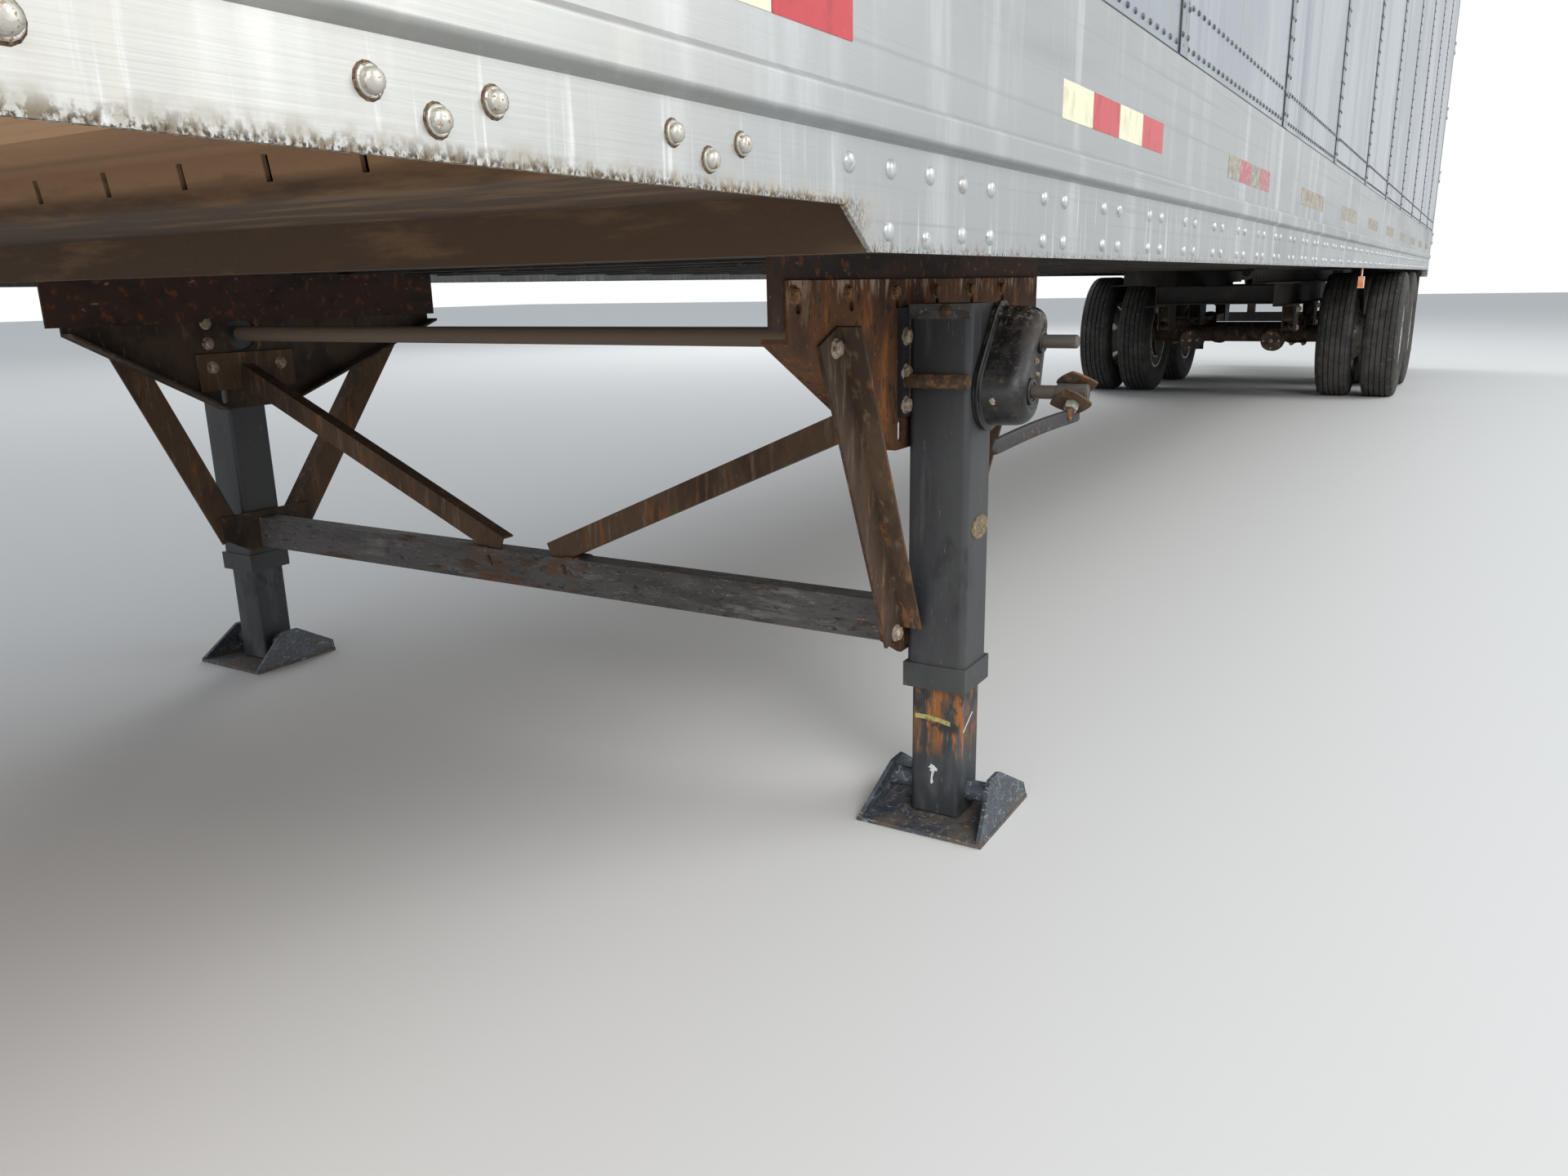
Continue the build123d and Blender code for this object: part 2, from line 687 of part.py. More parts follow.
def roof_panel():
    """Crowned sheet, cut to the rounded nose, on the flanges of the top rails."""
    edge = TOP_RAIL_X - ROOF_EDGE_INSET
    over = edge + ROOF_SHEET
    shares = (-1.0, -0.5, 0.0, 0.5, 1.0)
    low = [(over * share, ROOF_SEAT + ROOF_CROWN * (1 - share * share)) for share in shares]
    high = [(x, z + ROOF_SHEET) for x, z in low]
    sheet = prism("y", NOSE_Y, FRAME_FRONT, low + high[::-1])
    nose_y = NOSE_Y + ROOF_NOSE_INSET
    radius = CORNER_RADIUS - ROOF_NOSE_INSET
    plan = [(edge, FRAME_FRONT), (edge, nose_y, radius), (-edge, nose_y, radius), (-edge, FRAME_FRONT)]
    return [sheet & prism("z", ROOF_SEAT - ROOF_SHEET, BODY_HEIGHT + ROOF_SHEET, plan)]


def roof_bows():
    """Hat-section bows under the roof, from top rail to top rail."""
    bows = []
    top = ROOF_SEAT - TOP_RAIL_WALL
    bottom = top - BOW_DEPTH
    half = BOW_WIDTH / 2
    brim = half + BOW_BRIM
    inner = half - BOW_WALL
    for index in range(BOW_COUNT):
        middle = RAIL_FRONT + (index + 0.5) * BOW_PITCH
        rows = [(middle - brim, top), (middle - brim, top - BOW_WALL), (middle - half, top - BOW_WALL),
                (middle - half, bottom), (middle + half, bottom), (middle + half, top - BOW_WALL),
                (middle + brim, top - BOW_WALL), (middle + brim, top), (middle + inner, top),
                (middle + inner, bottom + BOW_WALL), (middle - inner, bottom + BOW_WALL),
                (middle - inner, top)]
        bows.append(prism("x", -LINER_X, LINER_X, rows))
    return bows


# Upper coupler

def kingpin():
    """Turned pin: shoulder, neck and head below the coupler plate."""
    centre = NOSE_Y + KINGPIN_SETBACK
    shoulder = KICK_FLOOR - KINGPIN_SHOULDER_LENGTH
    neck = shoulder - KINGPIN_NECK_LENGTH
    head = neck - KINGPIN_HEAD_LENGTH
    return fused([rod("z", shoulder, KICK_FLOOR, 0, centre, KINGPIN_SHOULDER_RADIUS),
                  rod("z", neck, shoulder, 0, centre, KINGPIN_NECK_RADIUS),
                  rod("z", head, neck, 0, centre, KINGPIN_HEAD_RADIUS)])


def pan(front):
    """Bent sheet from the coupler plate up over an open bay and down again to the kick plate."""
    land = front + PAN_LAND
    step = KICK_Y - PAN_STEP_SETBACK
    under = [(front, KICK_FLOOR), (land, KICK_FLOOR, PAN_BEND), (land + PAN_DRAFT, PAN_CEILING, PAN_BEND),
             (step - PAN_DRAFT, PAN_CEILING, PAN_BEND), (step, PAN_FLOOR, PAN_BEND), (KICK_Y, PAN_FLOOR)]
    wall = PAN_WALL
    over = [(KICK_Y, PAN_FLOOR + wall), (step + wall, PAN_FLOOR + wall),
            (step - PAN_DRAFT + wall, PAN_CEILING + wall),
            (land + PAN_DRAFT - wall, PAN_CEILING + wall), (land - wall, KICK_FLOOR + wall),
            (front, KICK_FLOOR + wall)]
    sheet = prism("x", -WEB_X, WEB_X, under + over)
    for index in range(PAN_SLOT_COUNT):
        x = (index - (PAN_SLOT_COUNT - 1) / 2) * PAN_SLOT_PITCH
        half = PAN_SLOT_WIDTH / 2
        span = (step - PAN_DRAFT - PAN_BEND, step + PAN_BEND)
        sheet -= block((x - half, x + half), span, (PAN_SLOT_BOTTOM, PAN_SLOT_TOP))
    return sheet


def upper_coupler():
    """Coupler plate with its cross beams, the open pan behind it and the kick plate."""
    front = NOSE_Y + COUPLER_NOSE_GAP
    back = front + COUPLER_LENGTH
    top = FLOOR_BOTTOM
    plate_top = KICK_FLOOR + COUPLER_PLATE
    radius = CORNER_RADIUS - COUPLER_NOSE_GAP
    plan = [(WEB_X, back), (WEB_X, front, radius), (-WEB_X, front, radius), (-WEB_X, back)]
    pieces = [prism("z", KICK_FLOOR, plate_top, plan), kingpin()]
    count = int(COUPLER_LENGTH / COUPLER_BEAM_PITCH)
    for index in range(count):
        web = back - index * COUPLER_BEAM_PITCH
        rows = channel_rows(web - COUPLER_BEAM_FLANGE, web, plate_top, top, COUPLER_BEAM_WALL, True)
        pieces.append(prism("x", -WEB_X, WEB_X, rows))
    pieces.append(pan(back))
    web_back = KICK_Y + KICK_PLATE
    rows = [(KICK_Y, KICK_BOTTOM), (web_back + KICK_LIP, KICK_BOTTOM),
            (web_back + KICK_LIP, KICK_BOTTOM + KICK_PLATE),
            (web_back, KICK_BOTTOM + KICK_PLATE), (web_back, top), (KICK_Y, top)]
    pieces.append(prism("x", -WEB_X, WEB_X, rows))
    return [fused(pieces)]


# Landing gear, drawn on the left side

def gear_rail():
    """Longitudinal member under the cross members, with a leg that the wing plate bolts to."""
    front = LEG_Y - GEAR_RAIL_FRONT
    back = LEG_Y + GEAR_RAIL_REAR
    leg_x = WING_INNER_X - GEAR_RAIL_WALL
    rows = [(leg_x, WING_TOP - GEAR_RAIL_LEG), (WING_INNER_X, WING_TOP - GEAR_RAIL_LEG),
            (WING_INNER_X, CROSS_BOTTOM - GEAR_RAIL_WALL),
            (leg_x + GEAR_RAIL_WIDTH, CROSS_BOTTOM - GEAR_RAIL_WALL),
            (leg_x + GEAR_RAIL_WIDTH, CROSS_BOTTOM), (leg_x, CROSS_BOTTOM)]
    return prism("y", front, back, rows)


def wing_plate():
    """Formed plate with lips turned inward along its front, rear and sloped edges."""
    front = LEG_Y - WING_FRONT
    back = LEG_Y + WING_REAR
    foot_front = LEG_Y - WING_FOOT_HALF
    foot_back = LEG_Y + WING_FOOT_HALF
    outer = [(front, WING_TOP), (front, WING_EDGE_BOTTOM), (foot_front, WING_BOTTOM),
             (foot_back, WING_BOTTOM),
             (back, WING_EDGE_BOTTOM), (back, WING_TOP)]
    plate = prism("x", WING_INNER_X, WING_X, outer)
    wall = WING_PLATE
    run_front = Vector(foot_front - front, WING_BOTTOM - WING_EDGE_BOTTOM)
    run_back = Vector(back - foot_back, WING_EDGE_BOTTOM - WING_BOTTOM)
    lift_front = wall / cos(atan2(abs(run_front.Y), run_front.X))
    lift_back = wall / cos(atan2(run_back.Y, run_back.X))
    lip_x = WING_INNER_X - WING_LIP
    lips = [[(front, WING_EDGE_BOTTOM), (foot_front, WING_BOTTOM), (foot_front, WING_BOTTOM + lift_front),
             (front, WING_EDGE_BOTTOM + lift_front)],
            [(foot_back, WING_BOTTOM), (back, WING_EDGE_BOTTOM), (back, WING_EDGE_BOTTOM + lift_back),
             (foot_back, WING_BOTTOM + lift_back)]]
    pieces = [plate] + [prism("x", lip_x, WING_INNER_X, rows) for rows in lips]
    plate = fused(pieces)
    cut = 1.0
    hole = rod("x", WING_INNER_X - cut, WING_X + cut, LEG_Y, CROSS_SHAFT_HEIGHT, SHAFT_HOLE_RADIUS)
    middle = LEG_Y - SLOT_OFFSET
    half = SLOT_WIDTH / 2
    for index in range(WING_HOLE_COUNT):
        y = LEG_Y + (index - (WING_HOLE_COUNT - 1) / 2) * WING_HOLE_PITCH
        hole += rod("x", WING_INNER_X - cut, WING_X + cut, y, WING_HOLE_HEIGHT, WING_HOLE_RADIUS)
    rows = [(middle - half, SLOT_BOTTOM, half * 0.99), (middle + half, SLOT_BOTTOM, half * 0.99),
            (middle + half, SLOT_BOTTOM + SLOT_HEIGHT, half * 0.99),
            (middle - half, SLOT_BOTTOM + SLOT_HEIGHT, half * 0.99)]
    return plate - hole - prism("x", WING_INNER_X - cut, WING_X + cut, rows)


def square_tube(size_x, size_y, wall, radius, low, high):
    """Upright square tube on the leg's centre line."""
    half_x = size_x / 2
    half_y = size_y / 2

    def rows(inset, corner):
        near_x = LEG_X + half_x - inset
        far_x = LEG_X - half_x + inset
        near_y = LEG_Y - half_y + inset
        far_y = LEG_Y + half_y - inset
        return [(far_x, near_y, corner), (near_x, near_y, corner), (near_x, far_y, corner),
                (far_x, far_y, corner)]

    inner = max(radius - wall, 2.0)
    return prism("z", low, high, rows(0, radius)) - prism("z", low - 1, high + 1, rows(wall, inner))


def outer_leg():
    """Outer leg tube with its cap, its foot collar and the bolting flange on its inboard side."""
    tube = square_tube(LEG_TUBE_X, LEG_TUBE_Y, LEG_TUBE_WALL, LEG_TUBE_RADIUS, COLLAR_BOTTOM, LEG_TOP)
    brim_y = LEG_TUBE_Y / 2 + LEG_CAP_BRIM
    cap = block((FLANGE_X, LEG_X + LEG_TUBE_X / 2), (LEG_Y - brim_y, LEG_Y + brim_y),
                (LEG_TOP - WELD_DEPTH, LEG_TOP + LEG_CAP))
    inner_x = INNER_TUBE_X / 2 + SLIDING_GAP
    inner_y = INNER_TUBE_Y / 2 + SLIDING_GAP
    outer_x = LEG_TUBE_X / 2 + COLLAR_THICKNESS
    outer_y = LEG_TUBE_Y / 2 + COLLAR_THICKNESS
    collar = block((LEG_X - outer_x, LEG_X + outer_x), (LEG_Y - outer_y, LEG_Y + outer_y),
                   (COLLAR_BOTTOM, COLLAR_TOP))
    collar -= block((LEG_X - inner_x, LEG_X + inner_x), (LEG_Y - inner_y, LEG_Y + inner_y),
                    (COLLAR_BOTTOM - 1, COLLAR_TOP + 1))
    flange = block((WING_X, FLANGE_X + WELD_DEPTH), (LEG_Y - FLANGE_HALF, LEG_Y + FLANGE_HALF),
                   (FLANGE_BOTTOM, LEG_TOP))
    return fused([tube, cap, collar, flange])


def inner_leg():
    return square_tube(INNER_TUBE_X, INNER_TUBE_Y, INNER_TUBE_WALL, LEG_TUBE_RADIUS, LEG_LIFT,
                       INNER_TUBE_TOP)


def pressed_foot(side):
    """Square pad whose sides fold up to a peak beside the leg, with a boss on each for the cross pin."""
    half = FOOT_SIZE / 2
    fold = half - FOOT_PLATE
    inner_x = INNER_TUBE_X / 2 + SLIDING_GAP
    x = side * LEG_X
    pieces = [block((x - half, x + half), (LEG_Y - half, LEG_Y + half), (0, FOOT_PLATE))]
    rows = [(LEG_Y - half, 0), (LEG_Y + half, 0), (LEG_Y + half, FOOT_REAR_HEIGHT),
            (LEG_Y + FOOT_PEAK_HALF, FOOT_PEAK_HEIGHT, FOOT_PEAK_RADIUS),
            (LEG_Y - FOOT_PEAK_HALF, FOOT_PEAK_HEIGHT, FOOT_PEAK_RADIUS), (LEG_Y - half, FOOT_PLATE)]
    for way in (-1, 1):
        flank = prism("x", min(0, way * FOOT_PLATE), max(0, way * FOOT_PLATE), rows)
        pieces.append(Pos(x + way * fold, 0, 0) * Rot(0, -way * FOOT_LEAN, 0) * flank)
        reach = fold - FOOT_PIN_HEIGHT * tan(radians(FOOT_LEAN)) + FOOT_PLATE / 2
        pieces.append(rod("x", x + way * inner_x, x + way * reach, LEG_Y, FOOT_PIN_HEIGHT, FOOT_PIN_RADIUS))
    return fused(pieces)


# Lower bracket, crossbar, struts and braces

def gear_bracket():
    """Plate on the leg's inboard side that carries the crossbar and the feet of the struts."""
    rows = [(LEG_Y - BRACKET_HALF, BRACKET_TOP), (LEG_Y - BRACKET_HALF, BRACKET_TOP - 60),
            (LEG_Y - 60, BRACKET_BOTTOM), (LEG_Y + 60, BRACKET_BOTTOM),
            (LEG_Y + BRACKET_HALF, BRACKET_TOP - 60),
            (LEG_Y + BRACKET_HALF, BRACKET_TOP)]
    plate = prism("x", WING_X - BRACKET_PLATE, WING_X, rows)
    pad = block((WING_X, FLANGE_X), (LEG_Y - BRACKET_PAD, LEG_Y + BRACKET_PAD),
                (BRACKET_BOTTOM + 10, BRACKET_TOP - 10))
    return fused([plate, pad])


def crossbar():
    """Square tube between the two leg brackets."""
    reach = WING_X - BRACKET_PLATE
    half = CROSSBAR_DEPTH / 2
    top = CROSSBAR_BOTTOM + CROSSBAR_HEIGHT
    bar = block((-reach, reach), (LEG_Y - half, LEG_Y + half), (CROSSBAR_BOTTOM, top))
    inner = half - CROSSBAR_WALL
    hollow = block((-reach - 1, reach + 1), (LEG_Y - inner, LEG_Y + inner),
                   (CROSSBAR_BOTTOM + CROSSBAR_WALL, top - CROSSBAR_WALL))
    return bar - hollow


def strut(way):
    """Angle bar from the wing plate's end down to the leg bracket; way is -1 forward, 1 rearward."""
    reach = STRUT_FRONT_REACH if way < 0 else STRUT_REAR_REACH
    head = (WING_X, LEG_Y + way * reach, STRUT_TOP)
    foot = (WING_X, LEG_Y + way * STRUT_FOOT_REACH, STRUT_FOOT)
    half = STRUT_FLANGE / 2
    u_rib = -half if way < 0 else half
    u_web = -half + STRUT_WALL if way < 0 else half - STRUT_WALL
    rows = [(0, -u_rib), (0, u_rib), (STRUT_RIB, u_rib), (STRUT_RIB, u_web), (STRUT_WALL, u_web),
            (STRUT_WALL, -u_rib)]
    return beam(head, foot, (1, 0, 0), rows)


def brace(side):
    """Channel from its bolted pad on the wing plate down to the middle of the crossbar."""
    top = CROSSBAR_BOTTOM + CROSSBAR_HEIGHT
    half = BRACE_HEIGHT / 2
    slope = (BRACE_TOP - top - half) / (WING_INNER_X - BRACE_FOOT_X)
    head = (side * (WING_INNER_X + half), LEG_Y, BRACE_TOP + slope * half)
    foot = (side * (BRACE_FOOT_X - BRACE_HEIGHT), LEG_Y, top + half - slope * BRACE_HEIGHT)
    rows = [(-BRACE_DEPTH / 2, -half), (BRACE_DEPTH / 2, -half), (BRACE_DEPTH / 2, -half + BRACE_WALL),
            (-BRACE_DEPTH / 2 + BRACE_WALL, -half + BRACE_WALL),
            (-BRACE_DEPTH / 2 + BRACE_WALL, half - BRACE_WALL),
            (BRACE_DEPTH / 2, half - BRACE_WALL), (BRACE_DEPTH / 2, half), (-BRACE_DEPTH / 2, half)]
    bar = beam(head, foot, (0, 1, 0), rows)
    beyond = sorted((side * WING_INNER_X, side * (WING_INNER_X + BRACE_HEIGHT)))
    bar -= block(beyond, (LEG_Y - BRACE_DEPTH, LEG_Y + BRACE_DEPTH), (top, WING_TOP))
    bar -= block((-WING_X, WING_X), (LEG_Y - BRACE_DEPTH, LEG_Y + BRACE_DEPTH),
                 (top - BRACE_HEIGHT * 2, top))
    faces = sorted((side * (WING_INNER_X - BRACE_PAD), side * WING_INNER_X))
    pad = block(faces, (LEG_Y - BRACE_PAD_HALF, LEG_Y + BRACE_PAD_HALF), (BRACE_PAD_BOTTOM, BRACE_PAD_TOP))
    return fused([bar, pad])


def cross_shaft():
    """Tube that drives the far leg from the gearbox side, through both wing plates."""
    reach = FLANGE_X - FLANGE_PLATE
    return rod("x", -reach, reach, LEG_Y, CROSS_SHAFT_HEIGHT, CROSS_SHAFT_RADIUS)


def gearbox_rows(grow):
    """Outline round the two shaft centres: a wide lower lobe drawn up to a narrow upper one."""
    low_y = LEG_Y + LOW_SHAFT_OFFSET
    high_y = LEG_Y + HIGH_SHAFT_OFFSET
    low = LOW_LOBE_RADIUS + grow
    high = HIGH_LOBE_RADIUS + grow
    return [(low_y - low, LOW_SHAFT_HEIGHT - low, low * 0.8),
            (low_y + low, LOW_SHAFT_HEIGHT - low, low * 0.8),
            (high_y + high, CROSS_SHAFT_HEIGHT + high, high * 0.9),
            (high_y - high, CROSS_SHAFT_HEIGHT + high, high * 0.9),
            (low_y - low, LOW_SHAFT_HEIGHT + low * 0.2, low * 0.5)]


def gearbox():
    """Pressed housing on the outboard face of the left leg, with its two crank shafts."""
    face = LEG_X + LEG_TUBE_X / 2
    mouth = face + GEARBOX_DEPTH
    pieces = [prism("x", face, face + GEARBOX_FLANGE, gearbox_rows(GEARBOX_BRIM)),
              prism("x", face, mouth, gearbox_rows(0))]
    pieces.append(rod("x", mouth - 1, mouth + HIGH_SHAFT_LENGTH, LEG_Y + HIGH_SHAFT_OFFSET,
                      HIGH_SHAFT_HEIGHT,
                      CRANK_SHAFT_RADIUS))
    pieces.append(rod("x", mouth - 1, mouth + LOW_SHAFT_LENGTH, LEG_Y + LOW_SHAFT_OFFSET, LOW_SHAFT_HEIGHT,
                      CRANK_SHAFT_RADIUS))
    return [fused(pieces)]


def crank_handle():
    """Handle bar folded forward under the rail, between the two tabs of a clevis on the lower shaft."""
    tip = LEG_X + LEG_TUBE_X / 2 + GEARBOX_DEPTH + LOW_SHAFT_LENGTH - CLEVIS_SETBACK
    y = LEG_Y + LOW_SHAFT_OFFSET
    z = LOW_SHAFT_HEIGHT
    half = CRANK_CLEVIS_WIDTH / 2
    middle = tip - CLEVIS_LENGTH / 2
    sleeve = block((tip - CLEVIS_LENGTH, tip), (y - half, y + half), (z - half, z + half))
    sleeve -= rod("x", tip - CLEVIS_LENGTH - 1, tip + 1, y, z, CRANK_SHAFT_RADIUS + SLIDING_GAP)
    tab = [(middle - TAB_REACH, y, TAB_CORNER), (middle, y - TAB_HALF, TAB_CORNER),
           (middle + TAB_REACH, y, TAB_CORNER),
           (middle, y + TAB_HALF, TAB_CORNER)]
    pieces = [sleeve, prism("z", z + half, z + half + TAB_PLATE, tab),
              prism("z", z - half - TAB_PLATE, z - half, tab)]
    pieces.append(rod("z", z + half, z + half + TAB_PLATE + CRANK_PIN_OVERRUN, middle, y, CRANK_PIN_RADIUS))
    low = z - CRANK_DROP
    wide = CRANK_BAR_WIDTH / 2
    thick = CRANK_BAR_THICKNESS / 2
    pieces.append(rod("z", low - wide - CRANK_PIN_OVERRUN, z - half, middle, y, CRANK_PIN_RADIUS))
    corner = thick * 0.7
    rows = [(-thick, -wide, corner), (thick, -wide, corner), (thick, wide, corner), (-thick, wide, corner)]
    end = (middle - CRANK_TOE, y - CRANK_RUN, low - CRANK_FALL)
    pieces.append(beam((middle, y + CRANK_TAIL, low), end, (1, 0, 0), rows))
    return [fused(pieces)]


# Tandem

def tyre(x, y):
    """Tyre with a flat tread, round shoulders and a bulged wall."""
    half = TYRE_WIDTH / 2
    tread = TREAD_WIDTH / 2
    foot = RIM_HALF_WIDTH - RIM_FLANGE - 1.0
    bulge = (BEAD_RADIUS + TYRE_RADIUS) / 2
    clear = RIM_FLANGE_RADIUS + 3.0
    rows = [(x - foot, clear), (x - foot, BEAD_RADIUS), (x + foot, BEAD_RADIUS), (x + foot, clear),
            (x + half, bulge - BULGE_DROP, BULGE_ROUND),
            (x + half - SHOULDER_INSET, bulge + SHOULDER_RISE, SHOULDER_ROUND),
            (x + tread, TYRE_RADIUS, TREAD_ROUND), (x - tread, TYRE_RADIUS, TREAD_ROUND),
            (x - half + SHOULDER_INSET, bulge + SHOULDER_RISE, SHOULDER_ROUND),
            (x - half, bulge - BULGE_DROP, BULGE_ROUND)]
    return turned(y, TYRE_RADIUS, rows)


def rim(x, y, mount):
    """Rim with its disc, which reaches the mounting face between the twins; mount is that face's x."""
    half = RIM_HALF_WIDTH
    seat = BEAD_RADIUS - RIM_GAP
    low = RIM_FLANGE_RADIUS
    barrel = [(x - half, seat - RIM_WALL), (x + half, seat - RIM_WALL), (x + half, low),
              (x + half - RIM_FLANGE, low), (x + half - RIM_FLANGE, seat), (x - half + RIM_FLANGE, seat),
              (x - half + RIM_FLANGE, low), (x - half, low)]
    way = 1 if x > mount else -1
    inner = mount
    outer = mount + way * DISC_WALL
    dish = x - way * half * DISC_DISH_SHARE
    disc = [(inner, HUB_RADIUS), (outer, HUB_RADIUS), (outer, DISC_HUB_RADIUS),
            (dish + way * DISC_WALL, seat - RIM_WALL), (dish, seat - RIM_WALL), (inner, DISC_HUB_RADIUS)]
    plate = turned(y, TYRE_RADIUS, disc)
    for index in range(HAND_HOLE_COUNT):
        turn = 2 * pi * index / HAND_HOLE_COUNT
        spot = (y + HAND_HOLE_CIRCLE * sin(turn), TYRE_RADIUS + HAND_HOLE_CIRCLE * cos(turn))
        plate -= rod("x", mount, x, *spot, HAND_HOLE_RADIUS)
    return fused([turned(y, TYRE_RADIUS, barrel), plate])


def hub(y):
    """Hub with its cap, and the brake drum on its inboard side, turned round the spindle."""
    mount = TRACK / 2
    bore = SPINDLE_RADIUS + SPINDLE_GAP
    inner = DRUM_INNER_X
    outer = inner + DRUM_WIDTH
    face = mount - DISC_WALL - RIM_GAP
    cap = mount + HUB_REACH
    lining = DRUM_RADIUS - DRUM_WALL
    throat = HUB_RADIUS - HUB_THROAT
    rows = [(inner, bore), (cap - HUB_CAP_WALL, bore), (cap - HUB_CAP_WALL, 0), (cap, 0),
            (cap, HUB_CAP_RADIUS - HUB_CAP_BEVEL), (cap - HUB_CAP_BEVEL, HUB_CAP_RADIUS),
            (mount + HUB_NECK_FAR, HUB_CAP_RADIUS), (mount + HUB_NECK_NEAR, HUB_RADIUS - RIM_GAP),
            (face, HUB_RADIUS - RIM_GAP), (face, DRUM_MOUTH_RADIUS), (outer, DRUM_RADIUS),
            (inner, DRUM_RADIUS), (inner, lining), (outer - DRUM_BACK, lining),
            (face - HUB_NECK_NEAR, throat), (inner, throat)]
    return turned(y, TYRE_RADIUS, rows)


def twin_wheels(y):
    """Both rims of one side with the hub and drum between them."""
    mount = TRACK / 2
    half = DUAL_SPACING / 2
    return [rim(mount + half, y, mount), rim(mount - half, y, mount), hub(y)]


def twin_tyres(y):
    half = DUAL_SPACING / 2
    return [tyre(TRACK / 2 - half, y), tyre(TRACK / 2 + half, y)]


def axle(y):
    """Tube with a turned-down spindle at each end."""
    reach = TRACK / 2 + HUB_REACH - SPINDLE_BACK
    right = [(DUST_SHIELD_X, AXLE_RADIUS), (DUST_SHIELD_X, DUST_SHIELD_RADIUS),
             (DUST_SHIELD_X + DUST_SHIELD, DUST_SHIELD_RADIUS), (DUST_SHIELD_X + DUST_SHIELD, AXLE_RADIUS),
             (AXLE_TUBE_HALF, AXLE_RADIUS), (AXLE_TUBE_HALF, SPINDLE_RADIUS), (reach, SPINDLE_RADIUS),
             (reach, 0)]
    left = [(-x, radius) for x, radius in reversed(right)]
    return turned(y, TYRE_RADIUS, left + right)


def spring_pack(y):
    """Three leaves in a shallow arch over the axle, with the seat and clamp plates."""
    x_low = SPRING_X - SPRING_WIDTH / 2
    x_high = SPRING_X + SPRING_WIDTH / 2
    seat_top = TYRE_RADIUS + AXLE_RADIUS + SPRING_SEAT
    seat = block((x_low, x_high), (y - SPRING_SEAT_HALF, y + SPRING_SEAT_HALF),
                 (TYRE_RADIUS + SPRING_SEAT_LOW, seat_top + 1))
    pieces = [seat]
    for index, share in enumerate(LEAF_SHARES):
        reach = SPRING_REACH * share
        low = seat_top + index * LEAF_THICKNESS
        rise = SPRING_RISE * share
        points = [Vector(x_low, y - reach, low + rise), Vector(x_low, y, low),
                  Vector(x_low, y + reach, low + rise)]
        lift = Vector(0, 0, LEAF_THICKNESS)
        edges = [ThreePointArc(*points), Line(points[2], points[2] + lift),
                 ThreePointArc(*[point + lift for point in points]), Line(points[0] + lift, points[0])]
        pieces.append(extrude(make_face(edges), amount=SPRING_WIDTH, dir=UNIT["x"]))
    top = seat_top + 3 * LEAF_THICKNESS
    pieces.append(block((x_low, x_high), (y - SPRING_CLAMP_HALF, y + SPRING_CLAMP_HALF),
                        (top - LEAF_THICKNESS, top + SPRING_CLAMP)))
    spring = fused(pieces)
    return spring - rod("x", x_low - 1, x_high + 1, y, TYRE_RADIUS, AXLE_RADIUS)


def spring_top():
    """Height of the spring's ends, where the rockers rest on them."""
    return TYRE_RADIUS + AXLE_RADIUS + SPRING_SEAT + 3 * LEAF_THICKNESS + SPRING_RISE


def hanger(y):
    """Two cheek plates under a cap plate, below the slider frame."""
    inner = SPRING_WIDTH / 2 + HANGER_GAP
    outer = inner + HANGER_PLATE
    pieces = [block((SPRING_X - outer, SPRING_X + outer), (y - HANGER_HEAD, y + HANGER_HEAD),
                    (SLIDER_BOTTOM - HANGER_CAP, SLIDER_BOTTOM))]
    rows = [(y - HANGER_HEAD, SLIDER_BOTTOM - HANGER_CAP), (y - HANGER_FOOT, HANGER_BOTTOM),
            (y + HANGER_FOOT, HANGER_BOTTOM), (y + HANGER_HEAD, SLIDER_BOTTOM - HANGER_CAP)]
    for low in (SPRING_X - outer, SPRING_X + inner):
        pieces.append(prism("x", low, low + HANGER_PLATE, rows))
    return fused(pieces)


def hanger_spots():
    middle = (FRONT_AXLE_Y + REAR_AXLE_Y) / 2
    return [middle - AXLE_SPACING, middle, middle + AXLE_SPACING]


def spring_rocker(y):
    """Cast rocker between the cheeks, which bears on the spring's ends."""
    half = SPRING_WIDTH / 2 + HANGER_GAP - SLIDING_GAP
    low = spring_top() + SLIDING_GAP
    high = SLIDER_BOTTOM - HANGER_CAP
    back = y - HANGER_FOOT + ROCKER_INSET
    front = y + HANGER_FOOT - ROCKER_INSET
    rows = [(back, low), (y - ROCKER_ARCH_HALF, low), (y, low + ROCKER_ARCH, ROCKER_ARCH_ROUND),
            (y + ROCKER_ARCH_HALF, low), (front, low), (front, low + ROCKER_END),
            (y + ROCKER_HEAD_HALF, high), (y - ROCKER_HEAD_HALF, high), (back, low + ROCKER_END)]
    return prism("x", SPRING_X - half, SPRING_X + half, rows)


def radius_rod(hanger_y, axle_y):
    """Rod that ties an axle seat to the hanger ahead of it."""
    half = SPRING_WIDTH / 2 + HANGER_GAP - SLIDING_GAP
    eye = rod("x", SPRING_X - half, SPRING_X + half, hanger_y, RADIUS_ROD_HEIGHT, RADIUS_EYE_RADIUS)
    end = axle_y - SPRING_SEAT_HALF - SLIDING_GAP
    start = hanger_y + RADIUS_EYE_RADIUS - 6
    low = TYRE_RADIUS + AXLE_RADIUS
    side = RADIUS_ROD_RADIUS
    rows = [(start, RADIUS_ROD_HEIGHT - side), (start, RADIUS_ROD_HEIGHT + side),
            (end, low + RADIUS_ROD_END), (end, low - RADIUS_ROD_END)]
    return fused([eye, prism("x", SPRING_X - side, SPRING_X + side, rows)])


